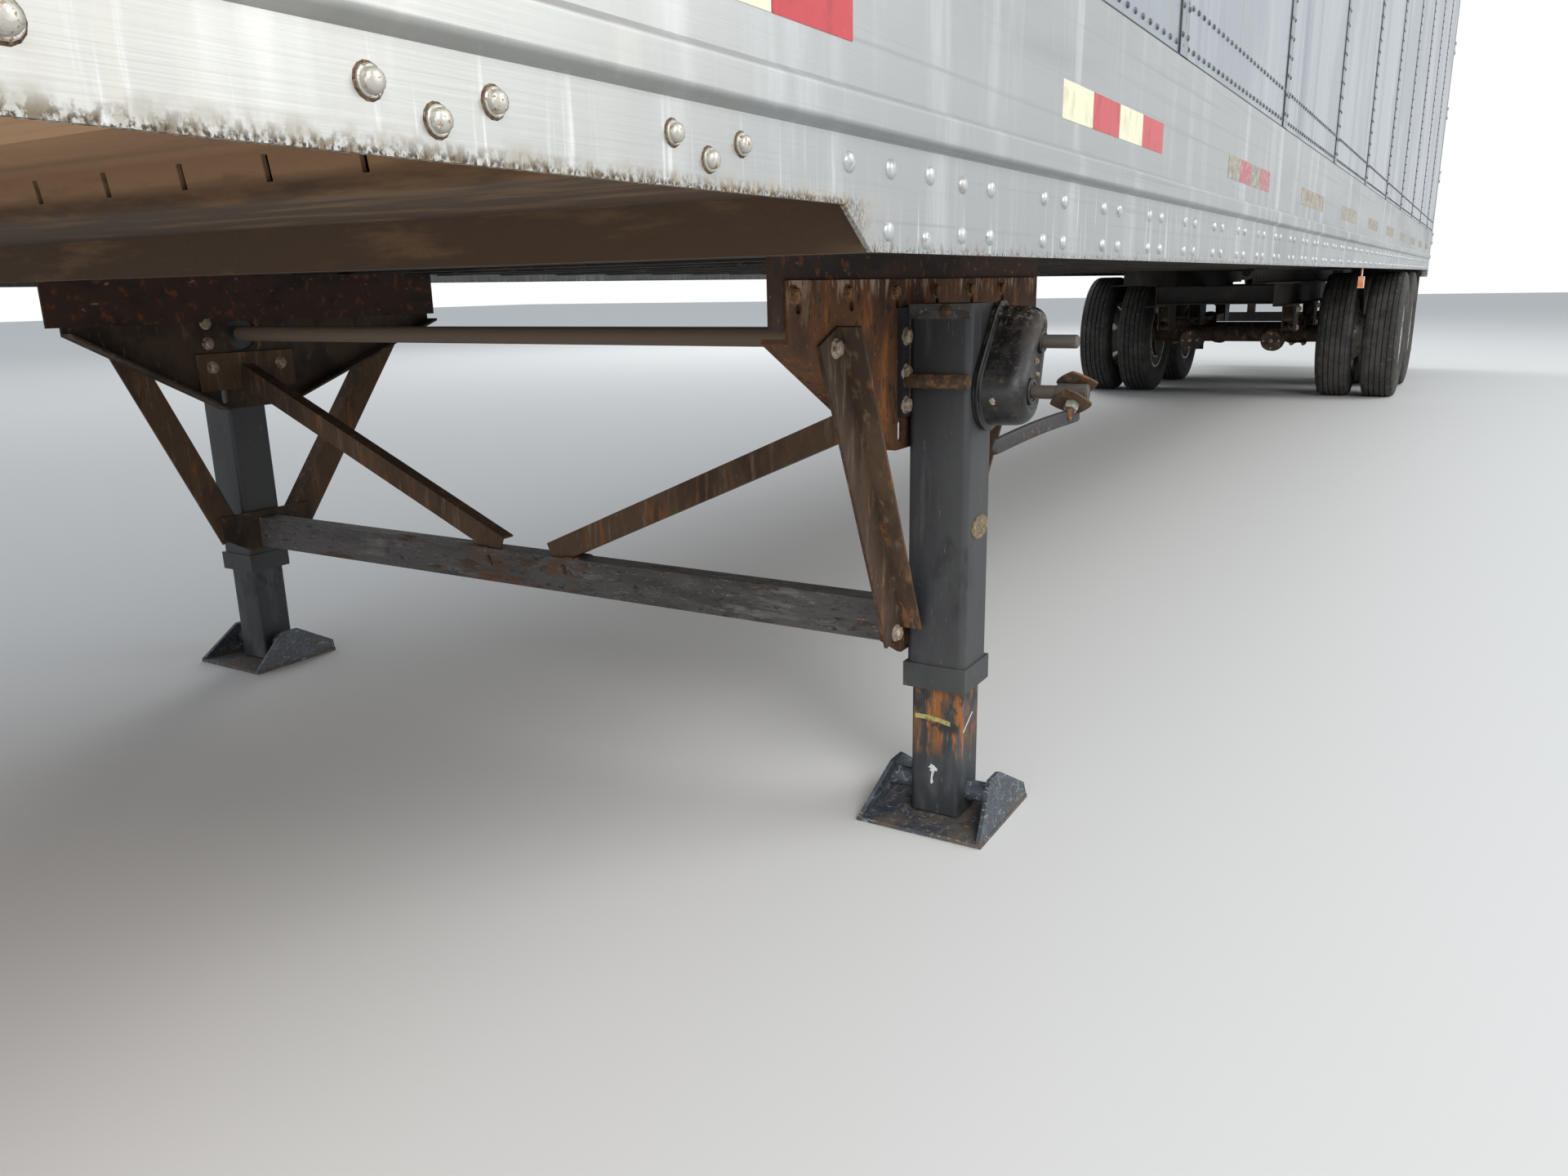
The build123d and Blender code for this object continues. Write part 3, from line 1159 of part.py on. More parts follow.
def bogie_frame():
    """Slider frame: two side channels, four cross channels and three pairs of spring hangers."""
    front = FRONT_AXLE_Y - SLIDER_FRONT_REACH
    back = REAR_AXLE_Y + SLIDER_REAR_REACH
    low_x = SLIDER_X - SLIDER_WIDTH / 2
    high_x = SLIDER_X + SLIDER_WIDTH / 2
    rows = channel_rows(low_x, high_x, SLIDER_BOTTOM, SLIDER_TOP, SLIDER_WALL, False)
    side = prism("y", front, back, rows)
    pieces = both_sides(side, *[hanger(y) for y in hanger_spots()])
    first, middle, last = hanger_spots()
    for y in (front + BOGIE_CROSS_HALF, first + BOGIE_CROSS_OFFSET, middle, last - BOGIE_CROSS_OFFSET,
              back - BOGIE_CROSS_OFFSET):
        rows = channel_rows(y - BOGIE_CROSS_HALF, y + BOGIE_CROSS_HALF, SLIDER_BOTTOM + BOGIE_CROSS_INSET,
                            SLIDER_TOP - BOGIE_CROSS_INSET, SLIDER_WALL, True)
        pieces.append(prism("x", -low_x, low_x, rows))
    return [fused(pieces)]


def slide_rail():
    """Body rail that the slider frame runs under, below the cross members."""
    low_x = SLIDER_X - SLIDE_RAIL_WIDTH / 2
    high_x = SLIDER_X + SLIDE_RAIL_WIDTH / 2
    rows = channel_rows(low_x, high_x, SLIDER_TOP, CROSS_BOTTOM, SLIDE_RAIL_WALL, False)
    return prism("y", FRONT_AXLE_Y - SLIDE_RAIL_FRONT_REACH, REAR_AXLE_Y + SLIDE_RAIL_REAR_REACH, rows)


def brake_chamber(y):
    """Spring brake chamber ahead of the axle: two cups clamped at a band, on a bracket to the axle."""
    start = y - CHAMBER_REACH - CHAMBER_LENGTH
    end = y - CHAMBER_REACH
    middle = start + CHAMBER_LENGTH * CHAMBER_BAND_SHARE
    body = [rod("y", start, end, CHAMBER_X, CHAMBER_HEIGHT, CHAMBER_RADIUS),
            rod("y", middle - CHAMBER_BAND_HALF, middle + CHAMBER_BAND_HALF, CHAMBER_X, CHAMBER_HEIGHT,
                CHAMBER_RADIUS + CHAMBER_BAND_PROUD)]
    arm = block((CHAMBER_X - CHAMBER_ARM_HALF, CHAMBER_X + CHAMBER_ARM_HALF),
                (end - 1, y - AXLE_RADIUS + 6),
                (CHAMBER_HEIGHT - CHAMBER_ARM_DROP, CHAMBER_HEIGHT + CHAMBER_ARM_RISE))
    pieces = fused(body + [arm])
    return pieces - rod("x", CHAMBER_X - 100, CHAMBER_X + 100, y, TYRE_RADIUS, AXLE_RADIUS)


def air_tank():
    """Tank with domed ends across the frame, hung on two straps."""
    y = cross_y(CROSS_COUNT - TANK_CROSS_FROM_REAR)
    z = CROSS_BOTTOM - TANK_DROP - TANK_RADIUS
    half = TANK_LENGTH / 2
    rows = [(-half, 0), (-half, TANK_RADIUS, TANK_ROUND), (half, TANK_RADIUS, TANK_ROUND), (half, 0)]
    pieces = [turned(y, z, rows)]
    for x in (-TANK_STRAP_X, TANK_STRAP_X):
        pieces.append(block((x - TANK_STRAP_HALF, x + TANK_STRAP_HALF),
                            (y - TANK_STRAP_EDGE, y + TANK_STRAP_EDGE),
                            (z + TANK_RADIUS - 3, CROSS_BOTTOM)))
    return [fused(pieces)]


def mud_flap():
    """Rubber flap behind the twin tyres."""
    y = cross_y(CROSS_COUNT - FLAP_CROSS_FROM_REAR) - CROSS_FLANGE / 2
    return block((WEB_X - FLAP_WIDTH, WEB_X), (y - FLAP_THICKNESS, y),
                 (FLAP_BOTTOM, CROSS_BOTTOM - FLAP_TOP_DROP))


def flap_hanger():
    """Angle bar that carries the flap under the cross members."""
    y = cross_y(CROSS_COUNT - FLAP_CROSS_FROM_REAR) - CROSS_FLANGE / 2
    low = CROSS_BOTTOM - FLAP_ANGLE_DEPTH
    ledge = CROSS_BOTTOM - FLAP_ANGLE_WALL
    rows = [(y, low), (y + FLAP_ANGLE_WALL, low), (y + FLAP_ANGLE_WALL, ledge), (y + FLAP_ANGLE_LEG, ledge),
            (y + FLAP_ANGLE_LEG, CROSS_BOTTOM), (y, CROSS_BOTTOM)]
    return prism("x", WEB_X - FLAP_WIDTH, WEB_X, rows)


# Rear frame and doors

def hinge_heights():
    """Middles of the hinges, evenly spaced from just above the sill to just below the header."""
    low = DOOR_BOTTOM + HINGE_SILL_GAP
    high = HEADER_BOTTOM - HINGE_HEADER_GAP
    return [low + (high - low) * index / (HINGE_COUNT - 1) for index in range(HINGE_COUNT)]


def rear_frame():
    """Sill, two posts and header round the door opening, with the fixed hinge butts."""
    outer = RAIL_X
    inner = RAIL_X - POST_WIDTH
    rows = [(-outer, SILL_BOTTOM), (outer, SILL_BOTTOM), (outer, BODY_HEIGHT - 2),
            (-outer, BODY_HEIGHT - 2)]
    hole = [(-inner, FLOOR_TOP), (inner, FLOOR_TOP), (inner, HEADER_BOTTOM), (-inner, HEADER_BOTTOM)]
    frame = prism("y", FRAME_FRONT, REAR_Y, rows) - prism("y", FRAME_FRONT - 1, REAR_Y + 1, hole)
    pocket = [(-inner, SILL_BOTTOM + POST_WALL), (inner, SILL_BOTTOM + POST_WALL),
              (inner, FLOOR_BOTTOM - POST_WALL), (-inner, FLOOR_BOTTOM - POST_WALL)]
    frame -= prism("y", FRAME_FRONT - 1, REAR_Y - POST_WALL, pocket)
    pieces = [frame]
    for z in hinge_heights():
        for side in (-1, 1):
            pieces += hinge_butts(side, z)
    return [fused(pieces + keepers())]


def hinge_leaf(side, reach_x, base_y, low, high):
    """Plate from a hinge pin's barrel to the face that it is welded to."""
    pin_x = side * HINGE_X
    half = HINGE_PLATE / 2
    rows = [(pin_x - half, HINGE_Y), (side * reach_x - half, base_y),
            (side * reach_x + half, base_y), (pin_x + half, HINGE_Y)]
    return prism("z", low, high, rows)


def hinge_butts(side, z):
    """Two fixed knuckles with their plates, above and below the door's knuckle."""
    pieces = []
    for way in (-1, 1):
        near = z + way * (HINGE_KNUCKLE / 2 + HINGE_GAP)
        far = near + way * HINGE_KNUCKLE / 2
        low, high = min(near, far), max(near, far)
        pieces.append(rod("z", low, high, side * HINGE_X, HINGE_Y, HINGE_RADIUS))
        pieces.append(hinge_leaf(side, HINGE_X - HINGE_LEAF_SET, REAR_Y, low, high))
    return pieces


def door(side):
    """Door leaf with its hinge straps and knuckles."""
    low_x = DOOR_MEETING_GAP / 2
    edges = sorted((side * low_x, side * DOOR_EDGE))
    leaf = block(edges, (DOOR_BACK, DOOR_FACE), (DOOR_BOTTOM, HEADER_BOTTOM - DOOR_GAP))
    pieces = [leaf]
    half = HINGE_KNUCKLE / 2
    for z in hinge_heights():
        pieces.append(rod("z", z - half, z + half, side * HINGE_X, HINGE_Y, HINGE_RADIUS))
        root = DOOR_EDGE - STRAP_SETBACK
        strap = sorted((side * (root - HINGE_STRAP), side * root))
        pieces.append(block(strap, (DOOR_FACE, DOOR_FACE + HINGE_PLATE), (z - half, z + half)))
        rows = [(side * root, DOOR_FACE), (side * root, DOOR_FACE + HINGE_PLATE),
                (side * (HINGE_X - 6), HINGE_Y + 3), (side * (HINGE_X + 4), HINGE_Y - 6)]
        pieces.append(prism("z", z - half, z + half, rows))
    return [fused(pieces)]


def door_hardware(side):
    """Two lock rods with their end cams and guides, and one handle on each rod."""
    rod_y = DOOR_FACE + ROD_STANDOFF
    low = DOOR_BOTTOM - ROD_OVERRUN
    high = HEADER_BOTTOM + ROD_OVERRUN
    solids = []
    for index, offset in enumerate(ROD_OFFSETS):
        x = side * offset
        pieces = [rod("z", low, high, x, rod_y, ROD_RADIUS)]
        half = CAM_WIDTH / 2
        for z in (low, high - CAM_HEIGHT):
            pieces.append(block((x - half, x + half), (rod_y - CAM_BACK, rod_y + CAM_FRONT),
                                (z, z + CAM_HEIGHT)))
        for z in (DOOR_BOTTOM + GUIDE_RISE, (DOOR_BOTTOM + HEADER_BOTTOM) / 2 + GUIDE_RISE,
                  HEADER_BOTTOM - GUIDE_HEADER_DROP):
            pieces.append(block((x - GUIDE_HALF, x + GUIDE_HALF), (DOOR_FACE, rod_y + GUIDE_DEPTH),
                                (z - GUIDE_HALF_HEIGHT, z + GUIDE_HALF_HEIGHT)))
        if index == 0:
            reach = x + side * HANDLE_LENGTH
            span = sorted((x, reach))
            handle_z = HANDLE_HEIGHT
            back = rod_y - HANDLE_BACK
            pieces.append(block(span, (back, back + HANDLE_THICKNESS),
                                (handle_z - HANDLE_WIDTH / 2, handle_z + HANDLE_WIDTH / 2)))
            catch = sorted((reach - side * CATCH_START, reach - side * CATCH_END))
            pieces.append(block(catch, (DOOR_FACE, back), (handle_z - CATCH_HALF, handle_z + CATCH_HALF)))
        solids.append(fused(pieces))
    return solids


def keepers():
    """Keepers on the sill and header, one pair of jaws round each cam."""
    blocks = []
    for side in (-1, 1):
        for offset in ROD_OFFSETS:
            x = side * offset
            for low in (DOOR_BOTTOM - ROD_OVERRUN, HEADER_BOTTOM + ROD_OVERRUN - CAM_HEIGHT):
                half = KEEPER_WIDTH / 2
                height = (low - KEEPER_MARGIN, low + CAM_HEIGHT + KEEPER_MARGIN)
                base = block((x - half, x + half), (REAR_Y, REAR_Y + KEEPER_PLATE), height)
                for way in (-1, 1):
                    jaw = sorted((x + way * half, x + way * (half - KEEPER_JAW)))
                    base = base.fuse(block(jaw, (REAR_Y, REAR_Y + KEEPER_REACH), height))
                blocks.append(base)
    return blocks


def dock_bumpers():
    pads = []
    for x in (-BUMPER_X, BUMPER_X):
        half = BUMPER_WIDTH / 2
        pads.append(block((x - half, x + half), (REAR_Y, REAR_Y + BUMPER_DEPTH),
                          (BUMPER_BOTTOM, BUMPER_BOTTOM + BUMPER_HEIGHT)))
    return pads


def rear_guard():
    """Underride guard: a square tube on two posts and two slanted braces."""
    half = GUARD_SIZE / 2
    middle = REAR_Y - half
    top = GUARD_BOTTOM + GUARD_SIZE
    pieces = [block((-GUARD_HALF, GUARD_HALF), (middle - half, REAR_Y), (GUARD_BOTTOM, top))]
    edge = GUARD_BRACE_HALF
    rows = [(-edge, -edge), (edge, -edge), (edge, edge), (-edge, edge)]
    for side in (-1, 1):
        x = side * GUARD_POST_X
        pieces.append(block((x - GUARD_POST_HALF, x + GUARD_POST_HALF),
                            (middle - half + GUARD_POST_INSET, REAR_Y - GUARD_POST_INSET),
                            (top, SILL_BOTTOM)))
        start = (x, middle, top + GUARD_BRACE_RISE)
        end = (x, middle - GUARD_BRACE_REACH, CROSS_BOTTOM - GUARD_BRACE_DROP)
        pieces.append(beam(start, end, (1, 0, 0), rows))
        pieces.append(block((x - GUARD_SEAT_HALF, x + GUARD_SEAT_HALF),
                            (middle - GUARD_SEAT_FRONT, middle - GUARD_SEAT_BACK),
                            (CROSS_BOTTOM - GUARD_SEAT_DEPTH, CROSS_BOTTOM)))
    return [fused(pieces)]


# Lamps and nose fittings

def bar_lamp(x, depth, low):
    """Small rectangular lamp with its middle at x and its foot at low."""
    half = ID_LAMP_LENGTH / 2
    return block((x - half, x + half), depth, (low, low + ID_LAMP_HEIGHT))


def red_lamps():
    """Stop and tail lamps in the sill, three lamps in the middle of the header and one at each end."""
    lamps = []
    for side in (-1, 1):
        for offset in LAMP_OFFSETS:
            lamps.append(rod("y", REAR_Y, REAR_Y + LAMP_DEPTH, side * offset, LAMP_HEIGHT, LAMP_RADIUS))
    for x in (-ID_LAMP_PITCH, 0, ID_LAMP_PITCH, -CLEARANCE_LAMP_X, CLEARANCE_LAMP_X):
        lamps.append(bar_lamp(x, (REAR_Y, REAR_Y + LAMP_DEPTH), ID_LAMP_BOTTOM))
    return lamps


def amber_lamps():
    """Front clearance lamps, and the mid turn lamps that hang under the rails."""
    lamps = []
    face = NOSE_Y + RAIL_SKIN - TOP_RAIL_SKIN
    for x in (-NOSE_LAMP_X, NOSE_LAMP_X):
        lamps.append(bar_lamp(x, (face - LAMP_DEPTH, face), NOSE_LAMP_BOTTOM))
    y = cross_y(MID_LAMP_CROSS)
    for side in (-1, 1):
        x = side * (WEB_X - SIDE_LAMP_SIZE / 2)
        low = CROSS_BOTTOM - SIDE_LAMP_DROP
        reach = SIDE_LAMP_SIZE / 2
        lens = block((x - SIDE_LAMP_HALF, x + SIDE_LAMP_HALF), (y - reach, y + reach),
                     (low, low + SIDE_LAMP_SIZE))
        arm = block((x - LAMP_ARM_HALF, x + LAMP_ARM_HALF), (y - LAMP_ARM_REACH, y + LAMP_ARM_REACH),
                    (low + SIDE_LAMP_SIZE - 1, CROSS_BOTTOM))
        lamps.append(fused([lens, arm]))
    return lamps


def nose_connectors():
    """Air couplings each side of the electric socket, on one plate at the nose."""
    face = NOSE_Y
    z = NOSE_BOX_HEIGHT
    plate = block((-NOSE_PLATE_HALF, NOSE_PLATE_HALF), (face + RAIL_SKIN - NOSE_PLATE, face + RAIL_SKIN),
                  (z - NOSE_PLATE_RISE, z + NOSE_PLATE_RISE))
    box = rod("y", face - NOSE_REACH, face, 0, z, SOCKET_RADIUS)
    pieces = [plate, box]
    for side in (-1, 1):
        x = side * GLAD_OFFSET
        pieces.append(rod("y", face - GLAD_REACH, face, x, z, GLAD_RADIUS))
        pieces.append(block((x - GLAD_HALF, x + GLAD_HALF), (face - GLAD_FRONT, face - GLAD_BACK),
                            (z - GLAD_DROP, z + GLAD_RISE)))
    return [fused(pieces)]


NODES = {
    "floor_deck": floor_deck(),
    "crossmembers": crossmembers(),
    "bottom_rail_left": [bottom_rail()],
    "bottom_rail_right": mirrored(bottom_rail()),
    "wall_panels_left": wall_panels(),
    "wall_panels_right": mirrored(*wall_panels()),
    "wall_posts_left": wall_posts(),
    "wall_posts_right": mirrored(*wall_posts()),
    "top_rail_left": [top_rail()],
    "top_rail_right": mirrored(top_rail()),
    "front_wall": front_wall(),
    "roof_panel": roof_panel(),
    "roof_bows": roof_bows(),
    "upper_coupler": upper_coupler(),
    "gear_rails": both_sides(gear_rail()),
    "wing_plates": both_sides(wing_plate()),
    "gear_outer_legs": both_sides(outer_leg()),
    "gear_inner_legs": both_sides(inner_leg()),
    "gear_feet": [pressed_foot(1), pressed_foot(-1)],
    "gear_brackets": both_sides(gear_bracket()),
    "gear_crossbar": [crossbar()],
    "gear_struts": both_sides(strut(-1), strut(1)),
    "gear_braces": [brace(1), brace(-1)],
    "gear_cross_shaft": [cross_shaft()],
    "gearbox": gearbox(),
    "crank_handle": crank_handle(),
    "slide_rails": both_sides(slide_rail()),
    "bogie_frame": bogie_frame(),
    "axles": [axle(FRONT_AXLE_Y), axle(REAR_AXLE_Y)],
    "leaf_springs": both_sides(spring_pack(FRONT_AXLE_Y), spring_pack(REAR_AXLE_Y)),
    "brake_chambers": both_sides(brake_chamber(FRONT_AXLE_Y), brake_chamber(REAR_AXLE_Y)),
    "spring_rockers": both_sides(*[spring_rocker(y) for y in hanger_spots()]),
    "radius_rods": both_sides(radius_rod(hanger_spots()[0], FRONT_AXLE_Y),
                              radius_rod(hanger_spots()[1], REAR_AXLE_Y)),
    "air_tank": air_tank(),
    "flap_hangers": both_sides(flap_hanger()),
    "mud_flaps": both_sides(mud_flap()),
    "tyres_front_left": twin_tyres(FRONT_AXLE_Y),
    "tyres_front_right": mirrored(*twin_tyres(FRONT_AXLE_Y)),
    "tyres_rear_left": twin_tyres(REAR_AXLE_Y),
    "tyres_rear_right": mirrored(*twin_tyres(REAR_AXLE_Y)),
    "wheels_front_left": twin_wheels(FRONT_AXLE_Y),
    "wheels_front_right": mirrored(*twin_wheels(FRONT_AXLE_Y)),
    "wheels_rear_left": twin_wheels(REAR_AXLE_Y),
    "wheels_rear_right": mirrored(*twin_wheels(REAR_AXLE_Y)),
    "rear_frame": rear_frame(),
    "door_left": door(1),
    "door_right": door(-1),
    "door_hardware_left": door_hardware(1),
    "door_hardware_right": door_hardware(-1),
    "dock_bumpers": dock_bumpers(),
    "rear_guard": rear_guard(),
    "red_lamps": red_lamps(),
    "amber_lamps": amber_lamps(),
    "nose_connectors": nose_connectors(),
}

os.makedirs("parts", exist_ok=True)
for node, pieces in NODES.items():
    save(node, pieces)
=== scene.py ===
"""Dresses the semi trailer's frame: fasteners, treads, landing gear fittings, markings and finishes."""
import bpy
import numpy as np
from bpy.props import FloatProperty, FloatVectorProperty, IntProperty
from math import cos, pi, radians, sin
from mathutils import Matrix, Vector


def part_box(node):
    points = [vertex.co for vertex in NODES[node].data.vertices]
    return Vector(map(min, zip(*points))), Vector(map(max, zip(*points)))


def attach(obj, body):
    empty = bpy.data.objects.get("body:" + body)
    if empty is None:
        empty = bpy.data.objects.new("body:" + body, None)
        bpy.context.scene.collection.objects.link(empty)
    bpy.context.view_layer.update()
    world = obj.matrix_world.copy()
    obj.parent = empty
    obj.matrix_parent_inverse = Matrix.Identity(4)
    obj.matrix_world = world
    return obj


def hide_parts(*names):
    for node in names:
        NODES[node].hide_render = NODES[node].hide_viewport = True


bl_info = {
    "name": "Semi trailer dressing",
    "version": (1, 1, 0),
    "blender": (4, 5, 0),
    "location": "3D View > Sidebar > Trailer",
    "description": "Fittings, finishes and stage of a plate-wall van trailer around its solid frame",
    "category": "Object",
}

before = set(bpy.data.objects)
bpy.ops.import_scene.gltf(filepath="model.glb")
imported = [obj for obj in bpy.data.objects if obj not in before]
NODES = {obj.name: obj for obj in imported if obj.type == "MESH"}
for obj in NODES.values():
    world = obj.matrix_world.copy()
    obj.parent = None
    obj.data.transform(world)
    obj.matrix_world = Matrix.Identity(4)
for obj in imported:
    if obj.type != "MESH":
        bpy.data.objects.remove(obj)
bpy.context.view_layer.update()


def face(node, way):
    """Coordinate where a frame node ends towards +X, -X, +Y, -Y, +Z or -Z, to a tenth of a millimetre."""
    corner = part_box(node)[way[0] == "+"]
    return round(float(corner["XYZ".index(way[1])]), 4)


def middle(node, axis):
    """Coordinate halfway along a frame node on an axis, to a tenth of a millimetre."""
    return round((face(node, "-" + axis) + face(node, "+" + axis)) / 2, 4)


# Places are in metres, in the frame's own axes: X to the trailer's left, Y to its rear, Z up

# Directions
LEFT = (1, 0, 0)
RIGHT = (-1, 0, 0)
FORWARD = (0, -1, 0)
BACK = (0, 1, 0)
UP = (0, 0, 1)
DOWN = (0, 0, -1)

# Faces of the body, with the rail's flat face set in from its ridge
RIDGE_PROUD = 0.0125
RAIL_X = round(face("bottom_rail_left", "+X") - RIDGE_PROUD, 4)
RAIL_TOP_Z = face("bottom_rail_left", "+Z")
RAIL_FRONT_Y = face("bottom_rail_left", "-Y")
BODY_END_Y = face("bottom_rail_left", "+Y")
WALL_X = face("wall_panels_left", "+X")
STRIP_X = face("wall_posts_left", "+X")
TOP_RAIL_X = face("top_rail_left", "+X")
ROOF_SEAT_Z = face("top_rail_left", "+Z")
NOSE_SKIN_Y = face("nose_connectors", "+Y")
NOSE_HEADER_Y = face("front_wall", "-Y")
REAR_Y = face("red_lamps", "-Y")
BUMPER_Y = face("dock_bumpers", "+Y")
DOOR_FACE_Y = face("door_hardware_left", "-Y")

# Rows of bolts and rivets on the body
BEAM_PITCH = 0.3048
BEAM_COUNT = 43
FIRST_PAIR_Y = -4.993
PAIR_HALF = 0.047
PAIR_ROWS = (1.111, 1.053)
BOLT_SET_COUNT = 8
BOLT_SET_Y = -5.581
BOLT_SET_PITCH = 0.2905
# Each bolt of a set as (shift along Y, height), each single rivet as (Y, height)
BOLT_SET = ((-0.049, 1.114), (0.049, 1.114), (0.0, 1.098))
SINGLE_RIVETS = ((-5.335, 1.115), (-5.240, 1.115), (-5.137, 1.115), (-5.245, 1.052), (-5.146, 1.045))
RIVET_PITCH = 0.0508
WIDE_PITCH = 0.0762
FOOT_ROWS = (1.433, 1.511)
TOP_ROW_Z = 4.005
FOOT_START = 0.03
TOP_START = 0.05
ROW_END = 0.02
PANEL_PITCH = 1.333
PANEL_COUNT = 12
JOINT_HALF = 0.032
STRIP_COLUMN = 0.023
STRIP_COLUMN_ENDS = (1.450, 3.960)
POST_OFFSETS = (-0.9, -0.45, 0.0, 0.45, 0.9)
POST_COLUMN = 0.022
POST_COLUMN_ENDS = (1.56, 3.93)
NOSE_ROW_ENDS = (-1.08, 1.09)
ROOF_RIVET_X = 1.255
SEAL_FOOT_Z = 1.412
SEAL_TOP_Z = 3.983
SEAL_WIDTH = 0.004
SEAL_NARROW = 0.0035
SEAL_DEPTH = 0.001

# Marking tape: strips of four blocks, counted from the one by the landing gear
TAPE_Y = -4.669
TAPE_PITCH = 1.267
TAPE_Z = 1.2515
TAPE_FIRST = -2
TAPE_LAST = 9
TAPE_BLOCKS = 4
TAPE_GAP = 0.0006
TAPE_THICKNESS = 0.0006

# Landing gear
LEG_Y = middle("gear_crossbar", "Y")
LEG_FACE_X = face("gearbox", "-X")
LEG_HALF_Y = 0.055
LEG_FRONT_Y = round(LEG_Y - LEG_HALF_Y, 4)
FLANGE_X = face("gear_brackets", "+X")
WING_X = face("wing_plates", "+X")
WING_INNER_X = face("gear_braces", "+X")
STRUT_X = 0.980
PAD_X = 0.960
FLANGE_BOLT_SHIFT = 0.069
FLANGE_BOLT_HEIGHTS = (0.909, 0.847, 0.791)
# Each strut bolt as (shift along Y from the leg, height)
STRUT_BOLTS = ((-0.322, 0.902), (0.500, 0.902), (-0.096, 0.378), (0.098, 0.378))
WING_BOLT_COUNT = 6
WING_BOLT_PITCH = 0.170
WING_BOLT_Z = 0.985
TUBE_FRONT_Y = face("gear_inner_legs", "-Y")
TUBE_SIDE_X = face("gear_inner_legs", "+X")
CROSSBAR_FOOT_Z = 0.336
CROSSBAR_TOP_Z = face("gear_crossbar", "+Z")
CROSSBAR_HALF_Y = round(LEG_Y - face("gear_crossbar", "-Y"), 4)
# Centres of the gearbox's lobes and of its upper shaft as (Y, height)
GEARBOX_LOW = (LEG_Y + 0.020, 0.812)
GEARBOX_HIGH = (LEG_Y + 0.072, 0.921)
GEARBOX_LOW_RADIUS = 0.060
GEARBOX_HIGH_RADIUS = 0.035
HIGH_SHAFT = (LEG_Y + 0.070, 0.895)
LOW_SHAFT_REACH = 0.097
HIGH_SHAFT_REACH = 0.061
GEARBOX_DEPTH = 0.086
CLEVIS_X = 1.258
CLEVIS_TURN = -0.75
TAB_HALF_X = 0.036
TAB_HALF_Y = 0.033
CLEVIS_FOOT_Z = 0.7905
CLEVIS_HEAD_Z = 0.8325
CRANK_RUN = 0.352
CRANK_TAIL = 0.026
CRANK_Z = 0.774
OVAL_CENTRE = (-4.476, 0.569)
OVAL_HALF = (0.040, 0.0215)
MARK_THICKNESS = 0.0003
PIN_X = -0.900

# Wheels and suspension
TYRE_RADIUS = face("tyres_front_left", "+Z") / 2
AXLES = {end: middle(f"tyres_{end}_left", "Y") for end in ("front", "rear")}
TRACK_HALF = middle("tyres_front_left", "X")
DUAL_HALF = 0.1715
NUT_COUNT = 10
NUT_CIRCLE = 0.1425
NUT_SEAT = 0.011
CAP_CIRCLE = 0.056
CAP_SEAT = 0.144
SPRING_HALF = 0.038
SPRING_X = round(face("leaf_springs", "+X") - SPRING_HALF, 4)
U_BOLT_HALF = 0.048
U_BOLT_SHIFT = 0.040
U_BOLT_FOOT_Z = 0.415
U_BOLT_TOP_Z = 0.640
CHAMBER_X = 0.330
CHAMBER_Z = 0.470
CHAMBER_REACH = 0.410
CHAMBER_CIRCLE = 0.060
HANGER_PITCH = 1.245
# Each pivot of a hanger as (shift along Y, height)
HANGER_PIVOTS = ((0.0, 0.590), (-0.075, 0.735), (0.075, 0.735))
SLIDE_HOLE_ENDS = (2.42, 7.05)
SLIDE_HOLE_PITCH = 0.1524

# Doors and lamps
HINGE_BOLT_Y = 8.080
GUIDE_Y = 8.116
HINGE_HEIGHTS = (1.350, 1.975, 2.600, 3.225, 3.850)
STRAP_BOLTS = (1.060, 1.110, 1.165)
ROD_OFFSETS = (0.250, 0.880)
GUIDE_HEIGHTS = (1.316, 2.693, 3.810)
SEAL_CENTRE = (0.615, 2.5705)
SEAL_OUTER = (0.606, 1.3735)
SEAL_INNER = (0.594, 1.3615)
LAMP_OFFSETS = (0.680, 0.800)
LAMP_Z = 1.058


def linear(hex_colour):
    """Linear RGBA of an sRGB hex colour."""
    values = [int(hex_colour[at:at + 2], 16) / 255 for at in (1, 3, 5)]
    return [v / 12.92 if v <= 0.04045 else ((v + 0.055) / 1.055) ** 2.4 for v in values] + [1.0]


# Shader nodes and finishes

def add(tree, kind, inputs=None, **settings):
    """Adds one shader node with its settings, then sets or links its inputs, and returns it."""
    node = tree.nodes.new(kind)
    for name, value in settings.items():
        setattr(node, name, value)
    for key, value in (inputs or {}).items():
        if isinstance(value, bpy.types.NodeSocket):
            tree.links.new(value, node.inputs[key])
        else:
            node.inputs[key].default_value = value
    return node


def empty_tree(owner):
    """Node tree of a material or world, with its nodes removed."""
    owner.use_nodes = True
    owner.node_tree.nodes.clear()
    return owner.node_tree


def patches(tree, place, size_mm, stretch, detail, offset):
    """Irregular field whose patches are about size_mm across; stretch lengthens them along an axis."""
    scale = [1000 / size_mm / s for s in stretch]
    shift = (offset, offset * 0.7, offset * 1.3)
    moved = add(tree, "ShaderNodeMapping", {"Vector": place, "Scale": scale, "Location": shift})
    spots = add(tree, "ShaderNodeTexNoise", {"Vector": moved.outputs["Vector"], "Scale": 1.0,
                                             "Detail": detail, "Roughness": 0.62})
    return spots.outputs["Fac"]


def pattern(tree, place, size_mm, low, high, stretch=(1, 1, 1), detail=5.0, offset=0.0):
    """Irregular 0 to 1 mask: the patches' field between low and high, eased at both ends."""
    value = patches(tree, place, size_mm, stretch, detail, offset)
    return add(tree, "ShaderNodeMapRange", {"Value": value, "From Min": low, "From Max": high},
               interpolation_type="SMOOTHSTEP").outputs["Result"]


